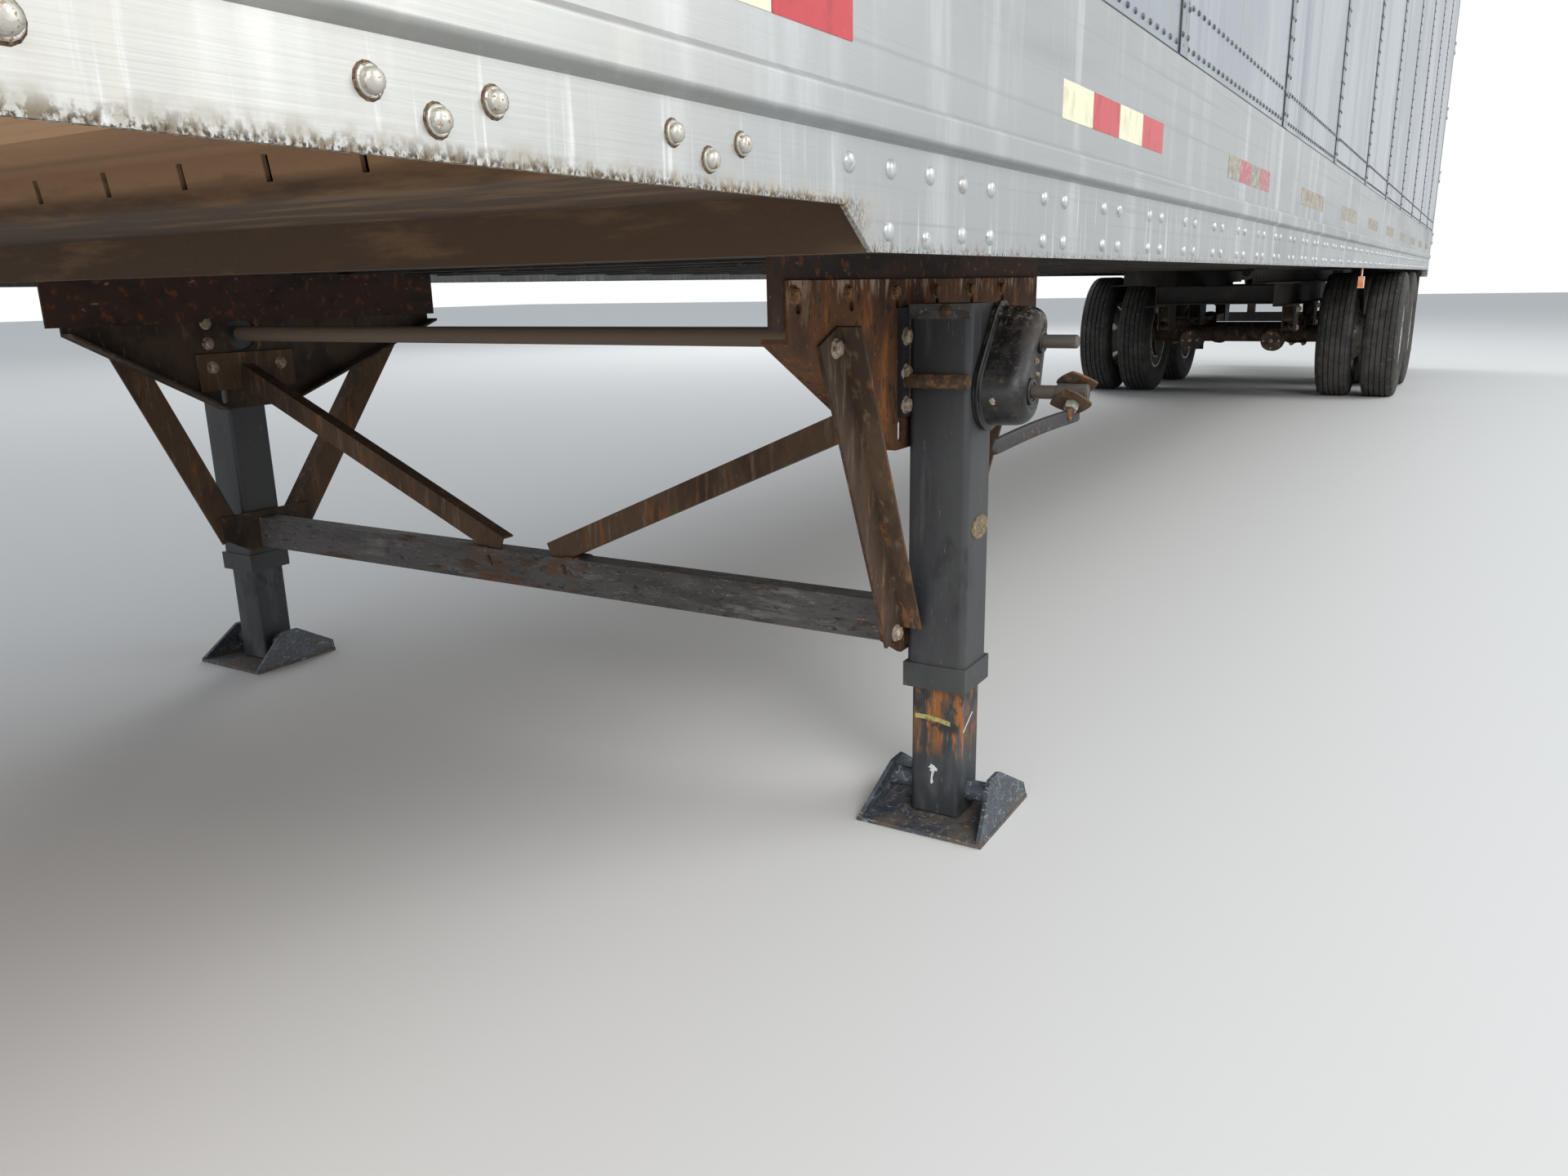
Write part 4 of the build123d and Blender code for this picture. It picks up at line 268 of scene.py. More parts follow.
def seams(tree, place, size_mm, width, stretch):
    """Thin wandering lines where the patches' field crosses its middle value, like cracks in a coat."""
    value = patches(tree, place, size_mm, stretch, 4.0, 11.0)
    off = add(tree, "ShaderNodeMath", {0: value, 1: 0.5}, operation="SUBTRACT")
    away = add(tree, "ShaderNodeMath", {0: off.outputs[0]}, operation="ABSOLUTE")
    return add(tree, "ShaderNodeMapRange", {"Value": away.outputs[0], "From Min": width,
                                            "From Max": 0.0}).outputs["Result"]


def band(tree, place, axis, start, end):
    """0 to 1 mask rising along an axis from start to end in metres; SIDE counts from the middle plane."""
    axes = add(tree, "ShaderNodeSeparateXYZ", {"Vector": place}).outputs
    value = axes["X" if axis == "SIDE" else axis]
    if axis == "SIDE":
        value = add(tree, "ShaderNodeMath", {0: value}, operation="ABSOLUTE").outputs[0]
    return add(tree, "ShaderNodeMapRange", {"Value": value, "From Min": start,
                                            "From Max": end}).outputs["Result"]


def limited(tree, place, mask, limits):
    """The mask times the band of each limit."""
    for axis, start, end in limits:
        edge = band(tree, place, axis, start, end)
        mask = add(tree, "ShaderNodeMath", {0: mask, 1: edge}, operation="MULTIPLY").outputs[0]
    return mask


EVEN = (1, 1, 1)
OUTER = [("SIDE", 0.9700, 0.9725)]
FAR_INNER = [("X", 0.5, 0.4), ("SIDE", 0.9725, 0.9700)]


def layer(shade, rough, size_mm, low, high, stretch=EVEN, limits=()):
    """One layer over a base: colour, roughness, patch size, the mask's low and high, stretch by axis.

    A limit is (axis, start, end): the layer grows along that axis between the two, in metres.
    A mask from -1 to 0 covers everything inside its limits.
    """
    return shade, rough, size_mm, low, high, stretch, limits


def recipe(base, rough, slot, layers, relief=(), metal=0.0, coat=0.0, cracks=None):
    """A finish: base colour or the name of a sidebar colour, roughness, frame slot (not used), layers and
    relief.

    Each relief is (patch size in mm, depth in mm, stretch); cracks is (size, width, colour, stretch).
    """
    return dict(base=base, rough=rough, slot=slot, layers=layers, relief=relief, metal=metal, coat=coat,
                cracks=cracks)


FINISHES = {
    # Mill-finish extrusion left outdoors: drawn along its length, smeared upright, grimy at its lower edge.
    "weathered aluminium extrusion": recipe("rail", 0.40, "aluminium", metal=0.72, layers=[
        layer("#8C8F90", 0.46, 300, 0.44, 0.72, (1, 9, 1)),
        layer("#B9BCBD", 0.34, 120, 0.50, 0.74, (1, 1, 9)),
        layer("#8F9293", 0.46, 14, 0.50, 0.80, (1, 160, 1)),
        layer("#B9B6AC", 0.50, 900, -1.0, 0.0, limits=[("Y", -5.30, -6.90)]),
        layer("#C3C0B5", 0.50, 60, 0.50, 0.80, (1, 1, 7), limits=[("Y", -5.30, -6.40)]),
        layer("#C9CACA", 0.44, 12, 0.56, 0.72, (1, 1, 26), limits=[("Z", 1.16, 1.09)]),
        layer("#A39C8E", 0.66, 22, 0.42, 0.66, (1, 1, 1.8),
              limits=[("Z", 1.094, 1.080), ("Y", -5.20, -5.34)]),
        layer("#7A6E5C", 0.85, 6, 0.44, 0.60, (1, 1, 1.5),
              limits=[("Z", 1.0870, 1.0775), ("Y", -5.28, -5.36)]),
        layer("#4A3F31", 0.90, 3.5, 0.46, 0.58, (1, 1, 1.3),
              limits=[("Z", 1.0815, 1.0765), ("Y", -5.28, -5.36)]),
        layer("#7D7263", 0.80, 12, 0.52, 0.66, (1, 1, 2), limits=[("Z", 1.050, 1.033)]),
        layer("#4A3E30", 0.88, 4, 0.50, 0.62, limits=[("Z", 1.039, 1.031)]),
    ], relief=[(3, 0.06, (1, 60, 1)), (420, 0.9, EVEN)]),
    # Rolled aluminium plate walls: clear, slightly wavy, with upright rain streaks.
    "rolled aluminium plate": recipe("wall", 0.28, "aluminium", metal=0.82, layers=[
        # The blue tint of the walls' base and of these first three layers is a painted sky reflection.
        layer("#838C95", 0.38, 190, 0.45, 0.72, (1, 1, 22)),
        layer("#B4BBC1", 0.26, 48, 0.54, 0.74, (1, 1, 30)),
        layer("#949CA4", 0.34, 700, 0.48, 0.60, (1, 1, 1.6)),
        layer("#8B8577", 0.60, 22, 0.58, 0.70, (1, 1, 14), limits=[("Z", 1.75, 1.42)]),
    ], relief=[(640, 1.8, EVEN), (2, 0.03, (1, 1, 40))]),
    # Cap strips and rails seen edge on, a little duller than the plates.
    "dull aluminium strip": recipe("#8A9096", 0.42, "aluminium", metal=0.72, layers=[
        layer("#63676C", 0.6, 40, 0.5, 0.72, (1, 1, 9)),
        layer("#7E7B73", 0.7, 14, 0.6, 0.7, (1, 1, 3)),
    ], relief=[(2, 0.05, (1, 1, 30))]),
    # Roof skin from above: chalky, with soot settled between the bows.
    "chalked roof sheet": recipe("#B3B6B8", 0.50, "aluminium", metal=0.62, layers=[
        layer("#8F9293", 0.6, 420, 0.44, 0.66, (1, 1.6, 1)),
        layer("#77746C", 0.75, 90, 0.56, 0.70, (3, 1, 1)),
        layer("#CACCCD", 0.42, 160, 0.54, 0.72, (6, 1, 1)),
    ], relief=[(610, 1.2, (4, 1, 1)), (30, 0.1, EVEN)]),
    # Pressed pan under the nose, galvanised and coated with dry road dust.
    "dusty galvanised pan": recipe("pan", 0.88, "coupler_steel", layers=[
        layer("#8A6A4C", 0.92, 420, 0.42, 0.66, (5, 1.4, 1)),
        layer("#C49E74", 0.90, 160, 0.52, 0.76, (8, 1.4, 1)),
        layer("#957253", 0.90, 16, 0.52, 0.70, (22, 1, 1)),
        layer("#5E4530", 0.84, 60, 0.60, 0.72, (7, 1, 1)),
        layer("#8E7053", 0.88, 500, -1.0, 0.0, limits=[("Y", -5.675, -5.650)]),
        layer("#4A3828", 0.88, 500, -1.0, 0.0, limits=[("Y", -5.675, -5.650), ("Z", 1.116, 1.104)]),
        layer("#6B5238", 0.90, 50, 0.50, 0.68, (6, 1, 1), limits=[("Y", -5.675, -5.640)]),
        layer("#2A2420", 0.55, 160, 0.44, 0.62, (1, 2.4, 1),
              limits=[("Y", -6.70, -6.95), ("Z", 1.079, 1.076)]),
    ], relief=[(14, 0.5, EVEN), (90, 0.8, EVEN)]),
    # Coated steel beams under the floor, near black partly as painted shade, with thrown dust and rust
    # freckles.
    "black chassis coat": recipe("#232120", 0.72, "frame_steel", layers=[
        layer("#4B4136", 0.92, 210, 0.46, 0.72),
        layer("#5F3A22", 0.88, 30, 0.60, 0.70),
        layer("#857661", 0.95, 8, 0.66, 0.74),
    ], relief=[(6, 0.25, EVEN)]),
    # Cross members behind the rails: galvanised channels gone matt and sooty, darkened partly by painted
    # shade.
    "sooty floor beam": recipe("#3A3733", 0.78, "frame_steel", layers=[
        layer("#22201E", 0.85, 260, 0.44, 0.66),
        layer("#5C5347", 0.92, 60, 0.56, 0.70, (1, 1, 3)),
        layer("#6A4226", 0.90, 18, 0.64, 0.70),
    ], relief=[(6, 0.25, EVEN)]),
    # Axle tubes, springs and brake gear: bare and painted iron, brown with baked-on dust.
    "dust-browned running gear": recipe("running_gear", 0.84, "frame_steel", layers=[
        layer("#2A211B", 0.80, 90, 0.44, 0.62),
        layer("#7A6A57", 0.94, 50, 0.54, 0.70, (1, 1, 2)),
        layer("#6B3F24", 0.90, 18, 0.60, 0.70),
    ], relief=[(7, 0.3, EVEN)]),
    # Wing plates: orange scale outboard, dark inboard from dust and painted shade, pale primer at the top
    # corner.
    "scaled rust plate": recipe("rust", 0.90, "rusty_steel", layers=[
        layer("#3A2313", 0.88, 130, 0.44, 0.66, (1, 1, 1.8)),
        layer("#8A5326", 0.92, 60, 0.52, 0.70, (1, 1, 2.6)),
        layer("#4E3220", 0.90, 14, 0.50, 0.64, (1, 1, 3)),
        layer("#A5713C", 0.94, 7, 0.62, 0.72, (1, 1, 2)),
        layer("#2A1A10", 0.86, 20, 0.60, 0.68, (1, 1, 2.4)),
        layer("#A88C74", 0.86, 18, 0.48, 0.62, (1, 1, 3.4), limits=OUTER + [("Z", 0.968, 0.998)]),
        layer("#9A7C64", 0.86, 20, 0.48, 0.60, (1, 1, 3.4),
              limits=OUTER + [("Z", 0.925, 0.985), ("Y", -4.83, -4.92)]),
        # The far plate's inner face: an all-over dark layer, partly painted shade from under the body.
        layer("#453629", 0.92, 100, -1.0, 0.0, limits=FAR_INNER),
        layer("#2A211A", 0.90, 110, 0.44, 0.62, (1, 1, 1.5), limits=FAR_INNER),
        layer("#5E4C39", 0.94, 30, 0.56, 0.70, (1, 1, 2), limits=FAR_INNER),
    ], relief=[(5, 0.4, EVEN), (40, 0.5, EVEN)]),
    # Mounting rails above the wing plates: dark scale, red-brown where it is damp.
    "dark scaled rail": recipe("#3E2A20", 0.90, "rusty_steel", layers=[
        layer("#241A15", 0.88, 90, 0.44, 0.62, (1, 2, 1)),
        layer("#6A3A24", 0.90, 26, 0.56, 0.68),
        layer("#8A6A50", 0.92, 12, 0.64, 0.72, (1, 3, 1)),
    ], relief=[(5, 0.4, EVEN)]),
    # Angle struts and braces: brown mill scale with lighter rust worn through along the bar.
    "rusted angle bar": recipe("#54402E", 0.88, "rusty_steel", layers=[
        layer("#3A2A1D", 0.86, 130, 0.44, 0.64, (1, 1, 2)),
        layer("#7B4E2B", 0.92, 30, 0.56, 0.70, (1, 1, 5)),
        layer("#6C5A48", 0.92, 16, 0.54, 0.70, (1, 1, 8)),
        layer("#98785A", 0.94, 5, 0.66, 0.74, (1, 1, 3)),
    ], relief=[(4, 0.3, EVEN)]),
    # Outer leg tubes: satin black paint under grey road film, hardly rusted.
    "satin black leg paint": recipe("leg", 0.50, "black_steel", layers=[
        layer("#3A3B3B", 0.68, 210, 0.46, 0.66, (1, 1, 2.4)),
        layer("#494845", 0.80, 60, 0.56, 0.72, (1, 1, 7)),
        layer("#131416", 0.42, 150, 0.54, 0.66, (1, 1, 2)),
        layer("#4C4238", 0.85, 30, 0.60, 0.72, (1, 1, 5), limits=[("Z", 0.86, 0.95)]),
        layer("#74716C", 0.80, 4, 0.67, 0.73, (1, 1, 10)),
    ], relief=[(9, 0.15, EVEN), (160, 0.6, EVEN)]),
    # Sliding leg tubes: black with an orange run below the collar.
    "rust-run black tube": recipe("#26292C", 0.46, "black_steel", layers=[
        layer("#43474B", 0.66, 60, 0.46, 0.68, (1, 1, 3)),
        layer("#5A4534", 0.84, 40, 0.46, 0.56, (1, 1, 3.4), limits=[("Z", 0.118, 0.175), ("X", 0.2, 0.6)]),
        layer("#85542A", 0.88, 26, 0.50, 0.60, (1, 1, 5), limits=[("Z", 0.125, 0.165), ("X", 0.2, 0.6)]),
        layer("#9A6030", 0.88, 11, 0.54, 0.64, (1, 1, 9), limits=[("Z", 0.120, 0.150), ("X", 0.2, 0.6)]),
        layer("#232120", 0.60, 44, 0.50, 0.58, (1, 1, 1.8), limits=[("Z", 0.150, 0.190)]),
        layer("#6E747A", 0.70, 4, 0.64, 0.73, (1, 1, 12)),
    ], relief=[(8, 0.2, EVEN)]),
    # Pressed feet: blue-black paint scuffed to grey on the folds, brown dust lying in the dish.
    "scuffed foot paint": recipe("#343C44", 0.55, "black_steel", layers=[
        layer("#4C545C", 0.62, 40, 0.48, 0.66),
        layer("#7E848A", 0.66, 12, 0.56, 0.68, (1, 2.4, 1)),
        layer("#5C5248", 0.92, 90, 0.40, 0.60, limits=[("Z", 0.018, 0.009)]),
        layer("#A09C96", 0.80, 5, 0.58, 0.68, (3, 1, 1)),
        layer("#5A4230", 0.92, 16, 0.56, 0.66, limits=[("Z", 0.09, 0.02)]),
    ], relief=[(12, 0.4, EVEN)]),
    # Crossbar: thick dark coat that has cracked and lifted in flakes from the rusty tube.
    "peeling dark coat": recipe("crossbar", 0.66, "black_steel", layers=[
        layer("#333130", 0.58, 90, 0.46, 0.64, (4, 1, 1)),
        layer("#6A6765", 0.75, 40, 0.54, 0.68, (6, 1, 1)),
        layer("#4D3A2C", 0.88, 34, 0.58, 0.66, (4, 1, 1)),
        layer("#8A8784", 0.78, 5, 0.62, 0.70, (6, 1, 1)),
        layer("#5E4332", 0.90, 90, 0.48, 0.62, (2, 1, 1), limits=[("SIDE", 0.22, 0.12)]),
        layer("#1E1D1D", 0.60, 10, 0.60, 0.66, (3, 1, 1)),
    ], relief=[(24, 1.4, (2.4, 1, 1)), (5, 0.3, EVEN)], cracks=(22, 0.010, "#8E8A84", (4, 1, 1))),
    # Gearbox shells: pressed steel, black paint worn to grey and brown scale on the high lobe.
    "worn gearbox paint": recipe("gearbox", 0.44, "black_steel", layers=[
        layer("#2B2927", 0.62, 50, 0.48, 0.68),
        layer("#4A3D33", 0.85, 16, 0.60, 0.70),
        layer("#4E443C", 0.88, 30, 0.44, 0.62, (1, 1, 2), limits=[("Z", 0.870, 0.945)]),
        layer("#8D8378", 0.86, 9, 0.50, 0.62, limits=[("Z", 0.915, 0.952)]),
        layer("#6E675F", 0.80, 3, 0.66, 0.72, (1, 1, 5)),
    ], relief=[(7, 0.25, EVEN)]),
    # Turned shafts and the cross shaft, dull steel under tan dust.
    "dusty turned steel": recipe("#55504A", 0.60, "rusty_steel", metal=0.2, layers=[
        layer("#3E362F", 0.78, 60, 0.46, 0.64, (4, 1, 1)),
        layer("#7D756B", 0.58, 18, 0.56, 0.70, (6, 1, 1)),
        layer("#6A452C", 0.88, 10, 0.62, 0.70),
        layer("#6E5F51", 0.80, 160, -1.0, 0.0, limits=[("X", 0.98, 0.96)]),
    ], relief=[(5, 0.12, EVEN)]),
    # Crank bar: black enamel, chipped along its edges.
    "chipped black enamel": recipe("#161617", 0.60, "black_steel", layers=[
        layer("#2B2928", 0.70, 34, 0.50, 0.66),
        layer("#6A4A36", 0.86, 14, 0.58, 0.68, limits=[("SIDE", 1.225, 1.262)]),
        layer("#8B7A68", 0.80, 5, 0.64, 0.72),
    ], relief=[(6, 0.15, EVEN)]),
    # Bolt heads that have rusted over, pale with dust on their crowns.
    "dusty rusted bolt": recipe("#8B7B6A", 0.80, "rusty_steel", metal=0.15, layers=[
        layer("#B3A594", 0.78, 10, 0.46, 0.62),
        layer("#5E4028", 0.86, 8, 0.56, 0.66),
    ], relief=[(3, 0.15, EVEN)]),
    # Bolts along the wing plate's top, as rusty as the plate.
    "rusted bolt": recipe("#6A4A30", 0.86, "rusty_steel", metal=0.1, layers=[
        layer("#8E6A48", 0.88, 9, 0.50, 0.64),
        layer("#3A2A20", 0.88, 6, 0.58, 0.68),
    ], relief=[(3, 0.15, EVEN)]),
    # Zinc-plated bolts with a grey bloom.
    "zinc bolt": recipe("#A2A39F", 0.46, "rear_steel", metal=0.65, layers=[
        layer("#77716A", 0.70, 8, 0.52, 0.66),
    ], relief=[(3, 0.08, EVEN)]),
    # Split pin, brass coloured.
    "dull brass": recipe("#7E6C50", 0.55, "rusty_steel", metal=0.4, layers=[
        layer("#4E4434", 0.72, 8, 0.46, 0.62),
        layer("#A89264", 0.46, 10, 0.56, 0.68),
    ], relief=[(2, 0.05, EVEN)]),
    # Solid aluminium rivets, weathered as their rail.
    "aluminium rivet": recipe("#B4B7B8", 0.40, "aluminium", metal=0.65, layers=[
        layer("#8C887E", 0.65, 9, 0.50, 0.68),
    ]),
    # Forged bolt heads through the rail's front section, their washers ringed with brown staining.
    "stained steel bolt": recipe("#B5B2A9", 0.38, "aluminium", metal=0.6, layers=[
        layer("#8A6E4C", 0.80, 4, 0.54, 0.64),
        layer("#E2E1DC", 0.30, 6, 0.58, 0.68),
    ], relief=[(3, 0.12, EVEN)]),
    # Brown stain ring under each of those bolts.
    "brown bolt stain": recipe("#5A4632", 0.85, "aluminium", layers=[
        layer("#8E7A60", 0.80, 4, 0.50, 0.64),
        layer("#3A2C1E", 0.88, 3, 0.56, 0.64),
    ]),
    # Dark rivets of the wall joints, filled with soot.
    "sooty rivet": recipe("#5A5E62", 0.5, "aluminium", metal=0.5, layers=[
        layer("#2E3032", 0.7, 20, 0.48, 0.66),
    ]),
    # Black polymer sealant run along each joint.
    "aged black sealant": recipe("#2B2D30", 0.7, "rubber", layers=[
        layer("#4A4C4E", 0.8, 30, 0.5, 0.66, (1, 1, 4)),
    ], relief=[(6, 0.2, EVEN)]),
    # Retroreflective film, white gone ivory in the sun, with its fine cell pattern.
    "ivory marking film": recipe("tape_white", 0.42, "aluminium", coat=0.25, layers=[
        layer("#C4BC9E", 0.50, 26, 0.50, 0.70, (1, 1, 2)),
        layer("#E6E4D2", 0.40, 8, 0.58, 0.70),
    ], relief=[(3, 0.06, EVEN)]),
    # The same film in red.
    "red marking film": recipe("tape_red", 0.42, "aluminium", coat=0.25, layers=[
        layer("#9A0D1A", 0.50, 30, 0.50, 0.72, (1, 1, 2)),
        layer("#C22736", 0.46, 8, 0.60, 0.72),
    ], relief=[(3, 0.06, EVEN)]),
    # Film whose colour has weathered away: beige, flaked down to grey.
    "faded marking film": recipe("#989284", 0.70, "aluminium", layers=[
        layer("#7C7A75", 0.62, 30, 0.48, 0.56),
        layer("#BDB8AA", 0.66, 12, 0.56, 0.64),
        layer("#8E7868", 0.68, 60, 0.56, 0.64),
    ], relief=[(6, 0.1, EVEN)]),
    # Red film faded to a dusty pink.
    "faded red film": recipe("#A65F66", 0.60, "aluminium", layers=[
        layer("#8A8482", 0.58, 24, 0.52, 0.60),
        layer("#C79A98", 0.64, 14, 0.54, 0.66),
    ], relief=[(6, 0.1, EVEN)]),
    # Tyre rubber: charcoal with pale dust in its grooves and on its walls.
    "dusty tread rubber": recipe("tyre", 0.82, "tyre", layers=[
        layer("#47443F", 0.90, 150, 0.42, 0.68),
        layer("#69635A", 0.95, 20, 0.56, 0.72),
        layer("#1A1A1A", 0.78, 60, 0.58, 0.70),
    ], relief=[(6, 0.3, EVEN)]),
    # Pressed steel rims in white enamel, road film and rust at the joints.
    "soiled white rim enamel": recipe("#BDBBB4", 0.48, "wheel_steel", layers=[
        layer("#8A8375", 0.75, 90, 0.46, 0.70),
        layer("#7A4A2C", 0.85, 20, 0.60, 0.70),
        layer("#5E5549", 0.88, 36, 0.56, 0.68),
    ], relief=[(5, 0.1, EVEN)]),
    # Swing doors: factory white enamel over a plywood core, lightly soiled at the foot.
    "white door enamel": recipe("door", 0.34, "door_white", layers=[
        layer("#B9B7B0", 0.50, 240, 0.48, 0.72, (1, 1, 8)),
        layer("#A7A398", 0.60, 60, 0.56, 0.70, (1, 1, 18)),
        layer("#8F887A", 0.75, 30, 0.52, 0.70, (1, 1, 5), limits=[("Z", 1.9, 1.25)]),
    ], relief=[(300, 0.8, EVEN)]),
    # Hot-dip galvanised rear frame and door gear, spangled and dull.
    "galvanised steel": recipe("#94979A", 0.52, "rear_steel", metal=0.5, layers=[
        layer("#7D8082", 0.60, 18, 0.42, 0.62),
        layer("#6A5B47", 0.80, 60, 0.58, 0.70, (1, 1, 4)),
        layer("#7A4E2E", 0.88, 14, 0.64, 0.70, (1, 1, 3)),
    ], relief=[(16, 0.1, EVEN)]),
    # Laminated oak floor boards, oiled and scuffed.
    "laminated oak floor": recipe("#7A5A3A", 0.62, "wood", layers=[
        layer("#5A3F27", 0.68, 40, 0.45, 0.66, (1, 14, 1)),
        layer("#94734D", 0.60, 14, 0.55, 0.70, (1, 20, 1)),
    ], relief=[(8, 0.3, (1, 20, 1))]),
    # Moulded rubber flaps, buffers and door seals, grey with dust.
    "moulded rubber": recipe("#20201F", 0.82, "rubber", layers=[
        layer("#4A463F", 0.92, 90, 0.48, 0.70, (1, 1, 2)),
    ], relief=[(4, 0.2, EVEN)]),
    # Acrylic lenses over a fluted pattern.
    "red acrylic lens": recipe("#A5140F", 0.16, "red_lens", coat=0.6, layers=[
        layer("#6E0D0A", 0.22, 14, 0.5, 0.7),
    ], relief=[(4, 0.5, (1, 1, 9))]),
    "amber acrylic lens": recipe("#D8761A", 0.18, "amber_lens", coat=0.6, layers=[
        layer("#A4541A", 0.30, 14, 0.5, 0.7),
    ], relief=[(4, 0.5, (1, 1, 9))]),
    # Holes read as near-black hollows: flat discs in painted shade.
    "soot-dark hollow": recipe("#0C0B0A", 0.95, "frame_steel", layers=[
        layer("#1C1814", 0.95, 12, 0.5, 0.7),
    ]),
    # Arc weld, rippled and rusted with the steel round it.
    "rusted weld bead": recipe("#4A3A2E", 0.78, "rusty_steel", metal=0.15, layers=[
        layer("#7A5434", 0.88, 14, 0.50, 0.64),
        layer("#26201C", 0.72, 9, 0.56, 0.66),
    ], relief=[(2, 0.2, EVEN)]),
    # Yellow and white paint-stick marks, dry and broken.
    "yellow paint stick": recipe("#A39A5C", 0.75, "black_steel", layers=[
        layer("#6E6A44", 0.8, 6, 0.50, 0.64),
    ]),
    "white paint run": recipe("#C9CBC8", 0.7, "black_steel", layers=[
        layer("#8D9194", 0.75, 5, 0.52, 0.66),
    ]),
    # Grey strip across the leg's cap.
    "weathered grey strip": recipe("#4F4D4A", 0.66, "black_steel", metal=0.1, layers=[
        layer("#33322F", 0.7, 24, 0.48, 0.64, (3, 1, 1)),
        layer("#77716A", 0.7, 9, 0.56, 0.68),
    ], relief=[(5, 0.1, EVEN)]),
}

CARRIED = {
    "weathered aluminium extrusion": ["bottom_rail_left", "bottom_rail_right"],
    "rolled aluminium plate": ["wall_panels_left", "wall_panels_right", "front_wall"],
    "dull aluminium strip": ["wall_posts_left", "wall_posts_right", "top_rail_left", "top_rail_right",
                             "roof_bows"],
    "chalked roof sheet": ["roof_panel"],
    "dusty galvanised pan": ["upper_coupler"],
    "black chassis coat": ["slide_rails", "bogie_frame", "flap_hangers", "rear_guard", "air_tank"],
    "sooty floor beam": ["crossmembers"],
    "dust-browned running gear": ["axles", "leaf_springs", "brake_chambers", "spring_rockers",
                                  "radius_rods"],
    "scaled rust plate": ["wing_plates", "gear_brackets"],
    "dark scaled rail": ["gear_rails"],
    "rusted angle bar": ["gear_struts", "gear_braces"],
    "satin black leg paint": ["gear_outer_legs"],
    "rust-run black tube": ["gear_inner_legs"],
    "scuffed foot paint": ["gear_feet"],
    "chipped black enamel": ["crank_handle"],
    "peeling dark coat": ["gear_crossbar"],
    "worn gearbox paint": ["gearbox"],
    "dusty turned steel": ["gear_cross_shaft"],
    "soiled white rim enamel": ["wheels_front_left", "wheels_front_right", "wheels_rear_left",
                                "wheels_rear_right"],
    "dusty tread rubber": ["tyres_front_left", "tyres_front_right", "tyres_rear_left", "tyres_rear_right"],
    "white door enamel": ["door_left", "door_right"],
    "galvanised steel": ["rear_frame", "door_hardware_left", "door_hardware_right", "nose_connectors"],
    "laminated oak floor": ["floor_deck"],
    "moulded rubber": ["mud_flaps", "dock_bumpers"],
    "red acrylic lens": ["red_lamps"],
    "amber acrylic lens": ["amber_lamps"],
}


# Height of the cracks' edges in metres
CRACK_DEPTH = 0.0008
# A layer rougher than this leaves only this share of the metal
DULL_ROUGHNESS = 0.55
DULL_METAL = 0.2


def base_colour(spec):
    """A finish's base colour: its own hex value, or the colour of that name in the sidebar."""
    if spec["base"].startswith("#"):
        return linear(spec["base"])
    return list(getattr(bpy.context.scene.trailer_colours, spec["base"])) + [1.0]


def layered(tree, place, spec):
    """Base colour, roughness and metal with the finish's layers mixed over them in turn."""
    colour, rough, metal = base_colour(spec), spec["rough"], spec["metal"]
    for index, (shade, level, size, low, high, stretch, limits) in enumerate(spec["layers"]):
        mask = pattern(tree, place, size, low, high, stretch, offset=3.7 * index)
        mask = limited(tree, place, mask, limits)
        mixed = add(tree, "ShaderNodeMix", {0: mask, 6: colour, 7: linear(shade)}, data_type="RGBA")
        colour = mixed.outputs[2]
        rough = add(tree, "ShaderNodeMix", {0: mask, 2: rough, 3: level}).outputs[0]
        if spec["metal"] > 0 and level > DULL_ROUGHNESS:
            dull = spec["metal"] * DULL_METAL
            metal = add(tree, "ShaderNodeMix", {0: mask, 2: metal, 3: dull}).outputs[0]
    return colour, rough, metal


def cracked(tree, place, cracks, colour):
    """The colour with pale cracks where the coat lifts, and a normal that raises their edges."""
    size, width, shade, stretch = cracks
    lifted = pattern(tree, place, size * 2, 0.46, 0.56, stretch, offset=5.0)
    lines = seams(tree, place, size, width, stretch)
    crack = add(tree, "ShaderNodeMath", {0: lines, 1: lifted}, operation="MULTIPLY").outputs[0]
    mixed = add(tree, "ShaderNodeMix", {0: crack, 6: colour, 7: linear(shade)}, data_type="RGBA")
    normal = add(tree, "ShaderNodeBump", {"Height": lines, "Distance": CRACK_DEPTH}).outputs["Normal"]
    return mixed.outputs[2], normal


def raised(tree, place, relief, normal):
    """The normal after each relief, or None where the finish has none."""
    for size, depth, stretch in relief:
        height = pattern(tree, place, size, 0.25, 0.75, stretch, detail=3.0)
        inputs = {"Height": height, "Distance": depth / 1000, "Strength": 0.8}
        if normal is not None:
            inputs["Normal"] = normal
        normal = add(tree, "ShaderNodeBump", inputs).outputs["Normal"]
    return normal


def surface(name):
    """The named finish as a material, made once."""
    if name in bpy.data.materials:
        return bpy.data.materials[name]
    spec = FINISHES[name]
    material = bpy.data.materials.new(name)
    tree = empty_tree(material)
    place = add(tree, "ShaderNodeTexCoord").outputs["Object"]
    colour, rough, metal = layered(tree, place, spec)
    normal = None
    if spec["cracks"]:
        colour, normal = cracked(tree, place, spec["cracks"], colour)
    normal = raised(tree, place, spec["relief"], normal)
    inputs = {"Base Color": colour, "Roughness": rough, "Metallic": metal, "Coat Weight": spec["coat"]}
    if normal is not None:
        inputs["Normal"] = normal
    shader = add(tree, "ShaderNodeBsdfPrincipled", inputs)
    add(tree, "ShaderNodeOutputMaterial", {"Surface": shader.outputs[0]})
    return material


# Meshes from arrays

def turn_steps(count):
    """Angles of even steps round a full turn."""
    return np.linspace(0, 2 * pi, count, endpoint=False)


def xyz(x, y, z):
    """Points from their coordinates; a coordinate that is one number holds for all of them."""
    return np.stack(np.broadcast_arrays(x, y, z), axis=-1).astype(float)


